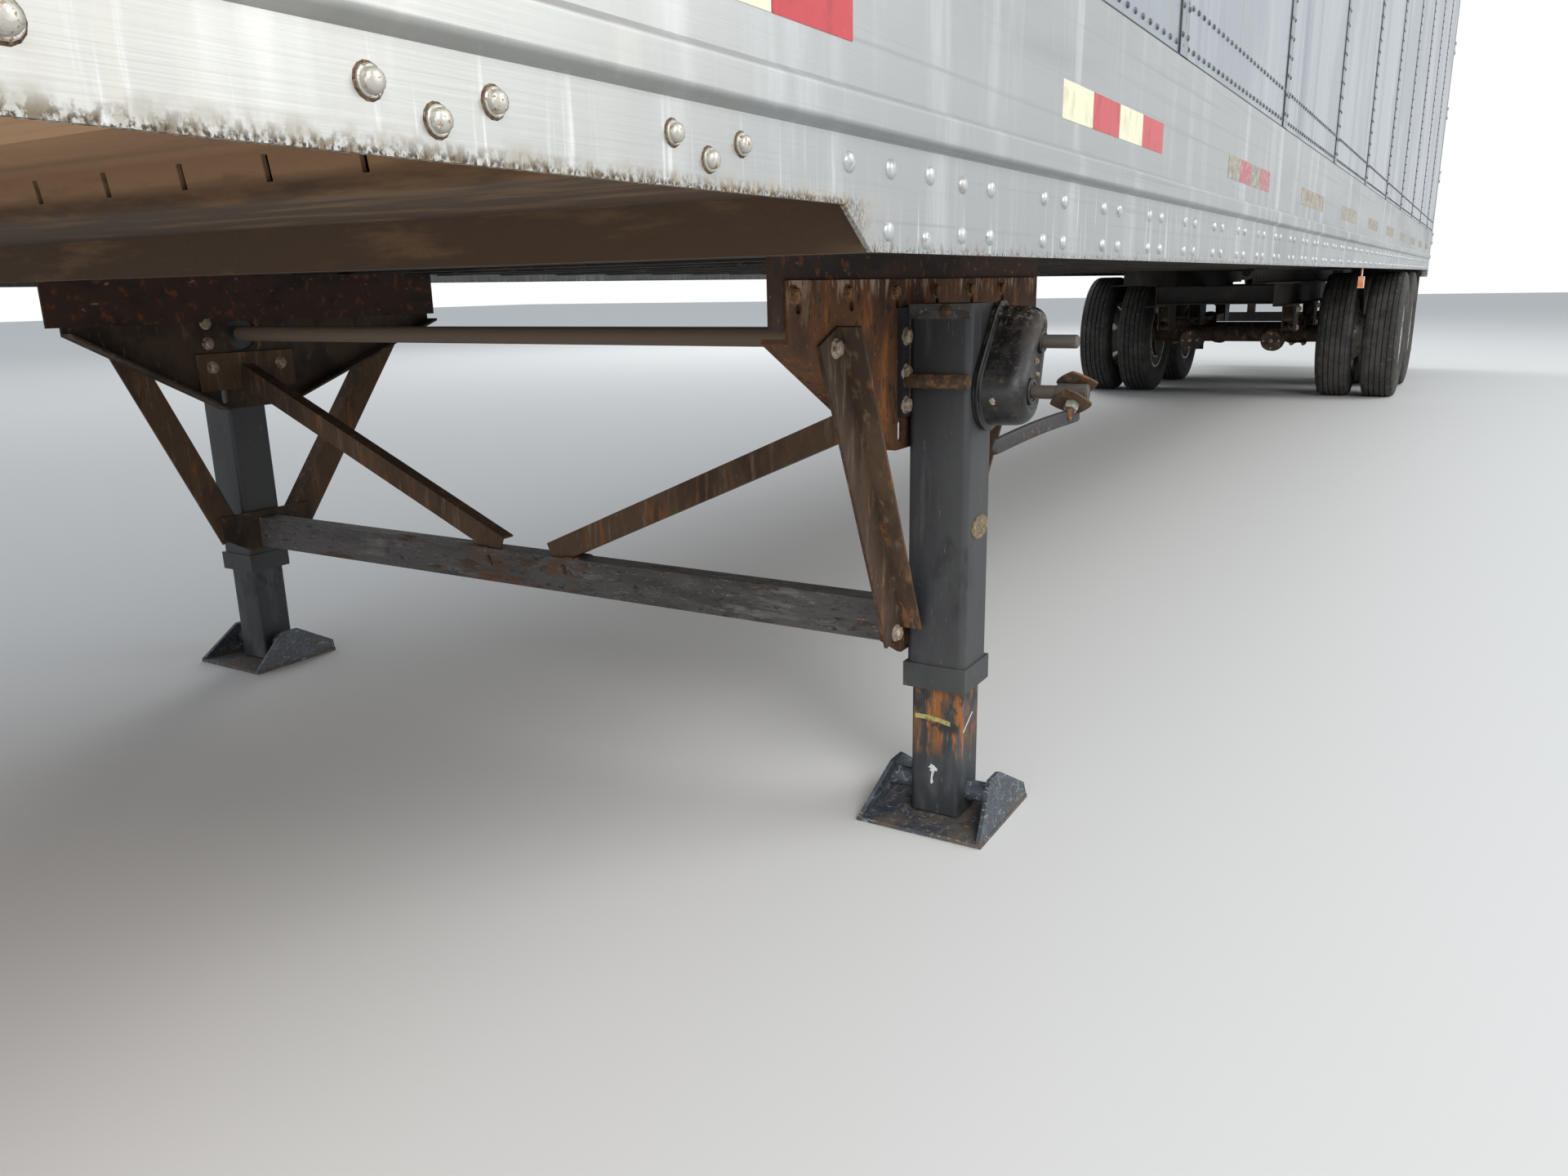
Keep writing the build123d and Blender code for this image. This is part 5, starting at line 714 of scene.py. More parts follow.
def show(name, parts, finish, body="trailer", nodes=(), smooth=40.0):
    """One object from (vertices, faces) arrays, with its finish, body and the nodes it stands for."""
    verts = []
    faces = []
    count = 0
    for points, polygons in parts:
        points = np.asarray(points, float).reshape(-1, 3)
        verts.append(points)
        for polygon in polygons:
            faces.extend((np.asarray(polygon, int) + count).tolist())
        count += len(points)
    mesh = bpy.data.meshes.new(name)
    mesh.from_pydata(np.concatenate(verts).tolist(), [], faces)
    mesh.validate()
    mesh.materials.append(surface(finish))
    piece = bpy.data.objects.new(name, mesh)
    bpy.context.scene.collection.objects.link(piece)
    if smooth:
        mesh.shade_smooth()
        mesh.set_sharp_from_angle(angle=radians(smooth))
    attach(piece, body)
    if nodes:
        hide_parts(*nodes)
    return piece


def rings(points, around=True, along=False, caps=True):
    """Faces of a grid of points, rows by columns: columns close round when around, rows when along."""
    rows, columns = points.shape[:2]
    at = np.arange(rows * columns).reshape(rows, columns)
    right = np.roll(at, -1, axis=1) if around else at[:, 1:]
    left = at if around else at[:, :-1]
    if along:
        low, high = (left, right), (np.roll(left, -1, axis=0), np.roll(right, -1, axis=0))
    else:
        low, high = (left[:-1], right[:-1]), (left[1:], right[1:])
    quads = np.stack([low[0], low[1], high[1], high[0]], axis=-1).reshape(-1, 4)
    polygons = [quads]
    if caps and not along:
        polygons += [at[0][None, ::-1], at[-1][None, :]]
    return points.reshape(-1, 3), polygons


def disc_stack(profile, segments):
    """Rings about +Z: each row (radius, height) becomes radius times cosine and sine of the turn."""
    turn = turn_steps(segments)
    profile = np.asarray(profile, float)
    return rings(xyz(profile[:, :1] * np.cos(turn), profile[:, :1] * np.sin(turn), profile[:, 1:2]))


def copies(shape, places, normal, side=(0, 0, 1), sizes=None, turns=None):
    """Copies of a shape standing on +Z, one a place with +Z along the normal, spun by turns in radians."""
    points, polygons = shape
    places = np.asarray(places, float).reshape(-1, 3)
    normal = np.asarray(normal, float) / np.linalg.norm(normal)
    across = np.cross(side, normal)
    across /= np.linalg.norm(across)
    up = np.cross(normal, across)
    turns = np.zeros(len(places)) if turns is None else np.asarray(turns, float)
    sizes = np.ones(len(places)) if sizes is None else np.asarray(sizes, float)
    c, s = np.cos(turns)[:, None], np.sin(turns)[:, None]
    x = (points[None, :, 0] * c - points[None, :, 1] * s) * sizes[:, None]
    y = (points[None, :, 0] * s + points[None, :, 1] * c) * sizes[:, None]
    z = points[None, :, 2] * sizes[:, None]
    spread = places[:, None, :] + x[..., None] * across + y[..., None] * up + z[..., None] * normal
    steps = (np.arange(len(places)) * len(points))[:, None, None]
    faces = [(polygon[None] + steps).reshape(-1, polygon.shape[1]) for polygon in polygons]
    return spread.reshape(-1, 3), faces


def join(shapes):
    """One shape from several."""
    points = []
    polygons = []
    count = 0
    for verts, faces in shapes:
        points.append(verts)
        polygons += [np.asarray(polygon, int) + count for polygon in faces]
        count += len(verts)
    return np.concatenate(points), polygons


def dome(radius, height, segments=8):
    """Low crown: rings shrink with the cosine while they rise with the sine."""
    rise = np.array([0.0, 0.45, 0.85, 1.12])
    profile = [(radius * cos(a), height * sin(a) / sin(rise[-1])) for a in rise]
    return disc_stack(profile, segments)


def hex_bolt(radius, height, washer=1.35):
    """Hexagon head with a chamfered top on a round washer."""
    head = disc_stack([(radius, height * 0.22), (radius, height * 0.85), (radius * 0.82, height)], 6)
    brim = radius * washer
    seat = disc_stack([(brim, 0), (brim, height * 0.18), (brim * 0.93, height * 0.24)], 14)
    return join([seat, head])


def tube(path, radius, segments=12):
    """Round bar along a path: a ring of points across the way at each stop."""
    path = np.asarray(path, float)
    way = np.gradient(path, axis=0)
    way /= np.linalg.norm(way, axis=1)[:, None]
    hint = np.array([0.13, 0.21, 0.97]) if abs(way[0, 2]) < 0.9 else np.array([1.0, 0.1, 0.0])
    side = np.cross(way, hint)
    side /= np.linalg.norm(side, axis=1)[:, None]
    up = np.cross(side, way)
    turn = turn_steps(segments)
    radius = np.broadcast_to(np.asarray(radius, float), (len(path),))[:, None, None]
    ring = path[:, None, :] + radius * (np.cos(turn)[None, :, None] * side[:, None, :]
                                        + np.sin(turn)[None, :, None] * up[:, None, :])
    return rings(ring[:, ::-1])


def bead(start, end, radius, step=0.004):
    """Weld run from start to end: a bar whose radius swells and shrinks with the sine of the distance."""
    start, end = np.asarray(start, float), np.asarray(end, float)
    length = np.linalg.norm(end - start)
    along = np.linspace(0, 1, max(6, int(length / step * 2)))
    ripple = 0.86 + 0.14 * np.sin(along * length / step * pi)
    swell = radius * ripple * np.minimum(1, 0.4 + 6 * along * (1 - along))
    return tube(start + (end - start) * along[:, None], swell, 8)


def slab(outline, axis, start, end):
    """Plate from an outline of two coordinates, given thickness along an axis."""
    outline = np.asarray(outline, float)
    area = np.sum(outline[:, 0] * np.roll(outline[:, 1], -1) - np.roll(outline[:, 0], -1) * outline[:, 1])
    if (area > 0) == (axis == 1):
        outline = outline[::-1]
    others = [at for at in range(3) if at != axis]
    points = np.zeros((2, len(outline), 3))
    points[:, :, others[0]] = outline[:, 0]
    points[:, :, others[1]] = outline[:, 1]
    points[0, :, axis] = start
    points[1, :, axis] = end
    return rings(points)


def plate(low, high):
    """Thin rectangular plate between two corners."""
    (x0, y0, z0), (x1, y1, z1) = low, high
    return slab([(y0, z0), (y1, z0), (y1, z1), (y0, z1)], 0, x0, x1)


def rounded(centre, half, corner, steps=5):
    """Outline of a rectangle with round corners."""
    turn = np.linspace(0, pi / 2, steps)
    out = []
    for quarter, (sx, sy) in enumerate(((1, 1), (-1, 1), (-1, -1), (1, -1))):
        angle = turn + quarter * pi / 2
        out.append(np.stack([centre[0] + sx * (half[0] - corner) + corner * np.cos(angle),
                             centre[1] + sy * (half[1] - corner) + corner * np.sin(angle)], axis=-1))
    return np.concatenate(out)


def sided(shape):
    """The same shape mirrored to the other side, with its faces turned back outwards."""
    points, polygons = shape
    flipped = points * np.array([-1.0, 1.0, 1.0])
    return flipped, [polygon[:, ::-1] for polygon in polygons]


SIDES = (("left", lambda shape: shape), ("right", sided))


def line(axis, values, at):
    """Places in a row: at with its axis coordinate set to each value in turn."""
    places = np.repeat(np.asarray(at, float)[None], len(values), axis=0)
    places[:, axis] = values
    return places


def both(name, shapes, finish, smooth=40.0):
    """The same shapes on the left and, mirrored, on the right, as two pieces."""
    show(f"{name}_left", shapes, finish, smooth=smooth)
    show(f"{name}_right", [sided(shape) for shape in shapes], finish, smooth=smooth)


# Body

def rail_fasteners(sizes):
    """Domed bolts in threes ahead of the kick plate, single rivets, then pairs at the cross members."""
    centres = BOLT_SET_Y - BOLT_SET_PITCH * np.arange(BOLT_SET_COUNT)
    bolts = np.concatenate([line(1, centres + shift, (RAIL_X, 0, z)) for shift, z in BOLT_SET])
    singles = np.array([(RAIL_X, y, z) for y, z in SINGLE_RIVETS])
    beams = FIRST_PAIR_Y + BEAM_PITCH * np.arange(BEAM_COUNT)
    pairs = np.concatenate([beams - PAIR_HALF, beams + PAIR_HALF])
    rivets = np.concatenate([singles] + [line(1, pairs, (RAIL_X, 0, z)) for z in PAIR_ROWS])
    radius = sizes.rail_bolt_radius
    stain = disc_stack([(radius * 1.48, 0), (radius * 1.40, 0.0008)], 14)
    washer = disc_stack([(radius * 1.25, 0.0006), (radius * 1.25, 0.0022), (radius * 1.15, 0.0029)], 14)
    crown = [(radius, 0.0026), (radius, 0.0052), (radius * 0.9, 0.0070), (radius * 0.62, 0.0084),
             (radius * 0.2, 0.0089)]
    bolt = join([washer, disc_stack(crown, 12)])
    rivet = dome(sizes.rail_rivet_radius, sizes.rail_rivet_radius * 0.42, 10)
    both("rail_bolts", [copies(bolt, bolts, LEFT)], "stained steel bolt")
    both("rail_bolt_stains", [copies(stain, bolts, LEFT)], "brown bolt stain")
    both("rail_rivets", [copies(rivet, rivets, LEFT)], "aluminium rivet")


def wall_fasteners(sizes):
    """Two rows along the wall's foot, a column down each edge of every strip, a top row, and sealant."""
    radius = sizes.wall_rivet_radius
    rivet = dome(radius, radius * 0.55, 6)
    along = np.arange(RAIL_FRONT_Y + FOOT_START, BODY_END_Y - ROW_END, RIVET_PITCH)
    top = np.arange(RAIL_FRONT_Y + TOP_START, BODY_END_Y - ROW_END, WIDE_PITCH)
    low, high = FOOT_ROWS
    rows = [line(1, along, (WALL_X, 0, low)), line(1, along + RIVET_PITCH / 2, (WALL_X, 0, high)),
            line(1, top, (TOP_RAIL_X, 0, TOP_ROW_Z))]
    joints = RAIL_FRONT_Y + PANEL_PITCH * np.arange(PANEL_COUNT)
    columns = np.concatenate([joints - STRIP_COLUMN, joints + STRIP_COLUMN])
    y, z = np.meshgrid(columns, np.arange(*STRIP_COLUMN_ENDS, RIVET_PITCH))
    strips = xyz(STRIP_X, y.ravel(), z.ravel())
    both("wall_rivets", [copies(rivet, np.concatenate(rows), LEFT)], "sooty rivet")
    both("strip_rivets", [copies(rivet, strips, LEFT)], "sooty rivet")
    inner = WALL_X - SEAL_DEPTH
    seals = []
    for y in joints + JOINT_HALF:
        seals.append(plate((inner, y, SEAL_FOOT_Z), (WALL_X + 0.002, y + SEAL_WIDTH, SEAL_TOP_Z)))
    for y in joints - JOINT_HALF:
        seals.append(plate((inner, y - SEAL_NARROW, SEAL_FOOT_Z), (STRIP_X, y, SEAL_TOP_Z)))
    foot_end = (WALL_X + 0.003, BODY_END_Y - 0.002, RAIL_TOP_Z + SEAL_WIDTH)
    seals.append(plate((inner, RAIL_FRONT_Y, RAIL_TOP_Z), foot_end))
    both("joint_sealant", seals, "aged black sealant", smooth=0)


def nose_fasteners(sizes):
    """Nose rivets: two rows at the foot, one under the header, two columns a post; and roof edge rows."""
    radius = sizes.wall_rivet_radius
    rivet = dome(radius, radius * 0.55, 6)
    across = np.arange(*NOSE_ROW_ENDS, RIVET_PITCH)
    rows = [line(0, across, (0, NOSE_SKIN_Y, z)) for z in FOOT_ROWS]
    rows.append(line(0, across[::2], (0, NOSE_HEADER_Y, TOP_ROW_Z)))
    columns = [x + way * POST_COLUMN for x in POST_OFFSETS for way in (-1, 1)]
    x, z = np.meshgrid(columns, np.arange(*POST_COLUMN_ENDS, WIDE_PITCH))
    rows.append(xyz(x.ravel(), NOSE_SKIN_Y, z.ravel()))
    show("nose_rivets", [copies(rivet, np.concatenate(rows), FORWARD)], "aluminium rivet")
    roof = np.arange(RAIL_FRONT_Y + TOP_START, BODY_END_Y - ROW_END, WIDE_PITCH)
    places = line(1, roof, (ROOF_RIVET_X, 0, ROOF_SEAT_Z + 0.0015))
    both("roof_rivets", [copies(dome(radius, 0.0022, 6), places, UP, side=BACK)], "sooty rivet")


def marking_tape(sizes):
    """Strips of four blocks along the rails, bright by the landing gear and weathered further back."""
    block = sizes.tape_block
    half = (block / 2 - TAPE_GAP, sizes.tape_width / 2)
    groups = {"white": [], "red": [], "faded": [], "pink": []}
    for strip in range(TAPE_FIRST, TAPE_LAST + 1):
        start = TAPE_Y + TAPE_PITCH * strip
        if start < RAIL_FRONT_Y or start + TAPE_BLOCKS * block > BODY_END_Y:
            continue
        pair = ("white", "red") if strip < 1 else ("faded", "pink" if strip == 1 else "faded")
        for index in range(TAPE_BLOCKS):
            corners = rounded((start + (index + 0.5) * block, TAPE_Z), half, 0.0015, 3)
            groups[pair[index % 2]].append(slab(corners, 0, RAIL_X, RAIL_X + TAPE_THICKNESS))
    both("tape_white", groups["white"], "ivory marking film", smooth=0)
    both("tape_red", groups["red"], "red marking film", smooth=0)
    both("tape_faded", groups["faded"], "faded marking film", smooth=0)
    both("tape_faded_red", groups["pink"], "faded red film", smooth=0)


# Tyres and wheels

def tread_rows():
    """Half section as (offset, radius): grooves between ribs, shoulder step, bulged wall and bead."""
    rows = [(0.0, TYRE_RADIUS)]
    for groove in (0.021, 0.060):
        rows += [(groove - 0.0046, TYRE_RADIUS), (groove - 0.0026, 0.4935), (groove + 0.0026, 0.4935),
                 (groove + 0.0046, TYRE_RADIUS)]
    shoulder = [(0.0905, 0.5060), (0.0955, 0.5035), (0.0975, 0.4975), (0.0995, 0.4975), (0.1015, 0.5020),
                (0.1075, 0.5000), (0.1140, 0.4950), (0.1200, 0.4860), (0.1238, 0.4720), (0.1245, 0.4640)]
    wall = [(0.1262, 0.4630), (0.1275, 0.4560), (0.1268, 0.4490), (0.1330, 0.4300), (0.1362, 0.4050),
            (0.1365, 0.3850), (0.1335, 0.3650), (0.1312, 0.3570), (0.1322, 0.3540), (0.1300, 0.3490),
            (0.1270, 0.3420), (0.1175, 0.3220)]
    foot = [(0.1135, 0.3130), (0.1140, 0.3090), (0.1100, 0.3050), (0.1040, 0.3000), (0.1040, 0.2905)]
    return np.array(rows + shoulder + wall + foot)


def tyre_shape(x, y, segments):
    """The half section mirrored to a closed loop and turned about the axle."""
    half = tread_rows()
    loop = np.concatenate([half[::-1] * np.array([-1, 1]), half[1:]])
    turn = turn_steps(segments)[:, None]
    radius = loop[:, 1]
    points = xyz(x + loop[:, 0], y + radius * np.sin(turn), TYRE_RADIUS + radius * np.cos(turn))
    points, polygons = rings(points, around=True, along=True)
    return points, [polygon[:, ::-1] for polygon in polygons]


def tyres(sizes):
    """Ribbed tyres in place of the plain ones."""
    for end, y in AXLES.items():
        for side, sign in (("left", 1), ("right", -1)):
            places = [sign * (TRACK_HALF + way * DUAL_HALF) for way in (-1, 1)]
            pair = [tyre_shape(x, y, sizes.tread_segments) for x in places]
            body = f"wheels_{end}_{side}"
            show(f"tread_{end}_{side}", pair, "dusty tread rubber", body, [f"tyres_{end}_{side}"])


def wheel_details():
    """Ten wheel nuts on the disc and a ring of small bolts on each hub cap."""
    turn = turn_steps(NUT_COUNT)
    ring = xyz(0, np.sin(turn), np.cos(turn))
    stud = disc_stack([(0.010, 0.024), (0.010, 0.040), (0.008, 0.042)], 12)
    nut = join([hex_bolt(0.017, 0.026, 1.25), stud])
    small = hex_bolt(0.007, 0.006, 1.3)
    for end, y in AXLES.items():
        for side, turned in SIDES:
            nuts = (TRACK_HALF + NUT_SEAT, y, TYRE_RADIUS) + NUT_CIRCLE * ring
            caps = (TRACK_HALF + CAP_SEAT, y, TYRE_RADIUS) + CAP_CIRCLE * ring
            shapes = [turned(copies(nut, nuts, LEFT)), turned(copies(small, caps, LEFT))]
            show(f"wheel_nuts_{end}_{side}", shapes, "dusty rusted bolt", f"wheels_{end}_{side}")


def suspension_fittings():
    """U-bolts over the spring packs, brake chamber bolts, hanger pivots and the slide rails' holes in
    painted shade.
    """
    bars = []
    nuts = []
    near, far = SPRING_X - U_BOLT_HALF, SPRING_X + U_BOLT_HALF
    arc = np.linspace(0, pi, 13)
    x = np.concatenate([[near], SPRING_X - U_BOLT_HALF * np.cos(arc), [far]])
    z = np.concatenate([[U_BOLT_FOOT_Z], U_BOLT_TOP_Z + 0.022 * np.sin(arc), [U_BOLT_FOOT_Z]])
    ring = turn_steps(4)
    for axle in AXLES.values():
        for y in (axle - U_BOLT_SHIFT, axle + U_BOLT_SHIFT):
            bars.append(tube(xyz(x, y, z), 0.009, 10))
            places = [(near, y, 0.440), (far, y, 0.440)]
            nuts.append(copies(hex_bolt(0.016, 0.018), places, DOWN, side=BACK))
        bars.append(plate((SPRING_X - 0.066, axle - 0.060, 0.438), (SPRING_X + 0.066, axle + 0.060, 0.448)))
        back = axle - CHAMBER_REACH
        spots = (CHAMBER_X, back, CHAMBER_Z) + CHAMBER_CIRCLE * xyz(np.cos(ring), 0, np.sin(ring))
        nuts.append(copies(hex_bolt(0.008, 0.008), spots, FORWARD))
        nuts.append(copies(hex_bolt(0.012, 0.014), [(CHAMBER_X, back, CHAMBER_Z)], FORWARD))
    centre = sum(AXLES.values()) / 2
    for hanger in (centre - HANGER_PITCH, centre, centre + HANGER_PITCH):
        pivots = [(SPRING_X + 0.056, hanger + shift, z) for shift, z in HANGER_PIVOTS]
        nuts.append(copies(hex_bolt(0.020, 0.016), pivots, LEFT))
    # Holes as flat discs whose near black is painted shade.
    disc = disc_stack([(0.019, 0), (0.018, 0.0006)], 16)
    holes = line(1, np.arange(*SLIDE_HOLE_ENDS, SLIDE_HOLE_PITCH), (0.448, 0, 0.998))
    both("spring_ubolts", bars, "dust-browned running gear")
    both("suspension_nuts", nuts, "dusty rusted bolt")
    both("slide_rail_holes", [copies(disc, holes, LEFT)], "soot-dark hollow")


# Landing gear

def gear_bolts(sizes):
    """Hex bolts on the leg flange, struts' ends and brace pads, and the rusty row along the plate's top."""
    bolt = hex_bolt(sizes.gear_bolt_radius, 0.0105, 1.25)
    columns = (LEG_Y - FLANGE_BOLT_SHIFT, LEG_Y + FLANGE_BOLT_SHIFT)
    flange = [(FLANGE_X, y, z) for y in columns for z in FLANGE_BOLT_HEIGHTS]
    ends = [(STRUT_X, LEG_Y + shift, z) for shift, z in STRUT_BOLTS]
    pads = [(PAD_X, LEG_Y - 0.100, 0.822), (PAD_X, LEG_Y + 0.100, 0.822)]
    inner = [(WING_INNER_X - 0.002, LEG_Y - 0.100, z) for z in (0.933, 0.882)]
    grey = [copies(bolt, flange, LEFT, turns=np.linspace(0, 2, len(flange))),
            copies(bolt, ends, LEFT, turns=[0.2, 0.5, 0.9, 0.1]),
            copies(bolt, pads + inner, RIGHT, turns=[0.3, 0.8, 0.1, 0.6])]
    both("gear_bolts", grey, "dusty rusted bolt")
    rows = LEG_Y + (np.arange(WING_BOLT_COUNT) - (WING_BOLT_COUNT - 1) / 2) * WING_BOLT_PITCH - 0.015
    places = line(1, rows, (WING_X, 0, WING_BOLT_Z))
    both("wing_bolts", [copies(hex_bolt(0.0105, 0.010, 1.3), places, LEFT, turns=rows * 7)], "rusted bolt")


def gearbox_outline(grow, count=96):
    """Hull of two circles: for each direction the point of whichever circle reaches further that way."""
    turn = turn_steps(count)
    way = np.stack([np.cos(turn), np.sin(turn)], axis=-1)
    low = np.array(GEARBOX_LOW)
    high = np.array(GEARBOX_HIGH)
    reach_low = way @ low + GEARBOX_LOW_RADIUS
    reach_high = way @ high + GEARBOX_HIGH_RADIUS
    pick = (reach_high > reach_low)[:, None]
    return np.where(pick, high + (GEARBOX_HIGH_RADIUS + grow) * way,
                    low + (GEARBOX_LOW_RADIUS + grow) * way)


def gearbox_shell():
    """Pressed shell: the hull outline carried outboard with a folded rim, a round edge and a sunk mouth.

    Each row is (distance out from the leg, growth of the outline).
    """
    rim = [(0.0, 0.008), (0.0035, 0.010), (0.0048, 0.0098), (0.0054, 0.0075), (0.0060, 0.0098),
           (0.0072, 0.0105), (0.0098, 0.0105), (0.0110, 0.0090), (0.0118, 0.003), (0.0140, 0.001)]
    dish = [(0.060, -0.001), (0.069, -0.003), (0.0765, -0.007), (0.0820, -0.0125), (0.0850, -0.0190),
            (0.0860, -0.0245), (0.0850, -0.0285), (0.0815, -0.0315), (0.0800, -0.0335)]
    rows = rim + dish
    outline = np.stack([gearbox_outline(grow) for _, grow in rows])
    offset = np.array([LEG_FACE_X + along for along, _ in rows])[:, None]
    points = xyz(offset, outline[..., 0], outline[..., 1])
    show("gearbox_shell", [rings(points)], "worn gearbox paint", nodes=["gearbox"], smooth=32.0)
    cover = LEG_FACE_X + GEARBOX_DEPTH
    boss = [(0.0235, -0.008), (0.0235, -0.001), (0.0215, 0.0010), (0.0165, 0.0012), (0.0155, -0.001),
            (0.0120, -0.001)]
    collar = disc_stack(boss, 28)
    bosses = [copies(collar, [(cover, *GEARBOX_LOW)], LEFT),
              copies(collar, [(cover, *HIGH_SHAFT)], LEFT, sizes=[0.86])]
    show("gearbox_bosses", bosses, "worn gearbox paint")
    shafts = []
    for (y, z), reach in ((GEARBOX_LOW, LOW_SHAFT_REACH), (HIGH_SHAFT, HIGH_SHAFT_REACH)):
        shaft = [(0.0118, -0.006), (0.0118, reach - 0.0025), (0.0100, reach - 0.0006), (0.0098, reach)]
        shafts.append(copies(disc_stack(shaft, 24), [(cover, y, z)], LEFT))
    show("gearbox_shafts", shafts, "dusty turned steel")
    rim_spot = [(LEG_FACE_X + 0.034, GEARBOX_LOW[0] - 0.0565, 0.800)]
    cover_spots = [(cover - 0.006, LEG_Y + 0.050, 0.862), (cover - 0.006, LEG_Y + 0.058, 0.838)]
    screws = [copies(hex_bolt(0.0055, 0.005), rim_spot, FORWARD),
              copies(hex_bolt(0.0045, 0.004), cover_spots, LEFT)]
    show("gearbox_screws", screws, "dusty rusted bolt")


def swung(shape):
    """The shape turned about the low crank shaft by CLEVIS_TURN: the clevis's open side faces forward."""
    points, polygons = shape
    y, z = points[:, 1] - GEARBOX_LOW[0], points[:, 2] - GEARBOX_LOW[1]
    c, s = cos(CLEVIS_TURN), sin(CLEVIS_TURN)
    return xyz(points[:, 0], GEARBOX_LOW[0] + y * c - z * s, GEARBOX_LOW[1] + y * s + z * c), polygons


def crank():
    """Folded crank: a socket on the low shaft, two diamond tabs and a rounded flat bar swept forward.

    A tab's edge is where the powers 1.25 of the cosine and sine shares add up to one.
    """
    y, z = GEARBOX_LOW
    sleeve = [(0.0150, -0.030), (0.0158, -0.026), (0.0158, 0.019), (0.0148, 0.022), (0.0125, 0.022)]
    show("crank_socket", [copies(disc_stack(sleeve, 28), [(CLEVIS_X, y, z)], LEFT)], "dusty turned steel")
    turn = turn_steps(48)
    reach = 1 / (np.abs(np.cos(turn)) ** 1.25 + np.abs(np.sin(turn)) ** 1.25) ** (1 / 1.25)
    tabs = []
    for base, rise in ((z + 0.0165, 0.004), (z - 0.0205, -0.004)):
        rows = []
        for share, lift in ((1.0, 0.0), (1.0, 0.004), (0.97, 0.0045), (0.5, 0.0045)):
            x = CLEVIS_X - 0.002 + TAB_HALF_X * share * reach * np.cos(turn)
            fold = rise * (np.abs(x - CLEVIS_X) / TAB_HALF_X) ** 2
            rows.append(xyz(x, y + TAB_HALF_Y * share * reach * np.sin(turn), base + lift + fold))
        tabs.append(swung(rings(np.stack(rows))))
    show("crank_tabs", tabs, "rusted angle bar")
    along = np.linspace(0, 1, 40)
    path = xyz(CLEVIS_X - 0.024 * along, y + CRANK_TAIL - CRANK_RUN * along,
               CRANK_Z - 0.016 * along + 0.004 * np.sin(pi * along))
    end = np.sqrt(np.clip(1 - (2 * np.abs(along - 0.5)) ** 40, 0.02, 1))
    section = rounded((0, 0), (0.0055, 0.0125), 0.005, 5)
    bar = path[:, None, :] + end[:, None, None] * xyz(section[:, 0], 0, section[:, 1])
    show("crank_bar", [rings(bar)], "chipped black enamel", nodes=["crank_handle"])


def clevis_fittings():
    """Nut and bolt end under the clevis, the head on its upper tab, and a split pin in the far shaft."""
    below = [(CLEVIS_X, GEARBOX_LOW[0], CLEVIS_FOOT_Z)]
    above = [(CLEVIS_X, GEARBOX_LOW[0], CLEVIS_HEAD_Z)]
    nut = disc_stack([(0.0110, 0), (0.0128, 0.002), (0.0128, 0.012), (0.0110, 0.014)], 6)
    under = [copies(nut, below, DOWN, side=BACK), copies(nut, above, UP, side=BACK, sizes=[0.7])]
    show("clevis_nuts", [swung(shape) for shape in under], "zinc bolt")
    thread = [(0.0074, 0.010)]
    for ridge in 0.014 + 0.0012 * np.arange(15):
        thread += [(0.0074, ridge), (0.0065, ridge + 0.0006)]
    thread.append((0.0055, 0.0335))
    show("clevis_bolt_end", [swung(copies(disc_stack(thread, 12), below, DOWN, side=BACK))], "rusted bolt")
    turn = np.linspace(0, 2 * pi, 15)
    loop = xyz(PIN_X, LEG_Y + 0.0045 * np.sin(turn), 0.932 + 0.0060 * np.cos(turn))
    legs = [(PIN_X, LEG_Y, 0.926), (PIN_X, LEG_Y, 0.874), (PIN_X + 0.0015, LEG_Y - 0.006, 0.866)]
    show("cross_shaft_pin", [tube(loop, 0.0022, 8), tube(legs, 0.0026, 8)], "dull brass")


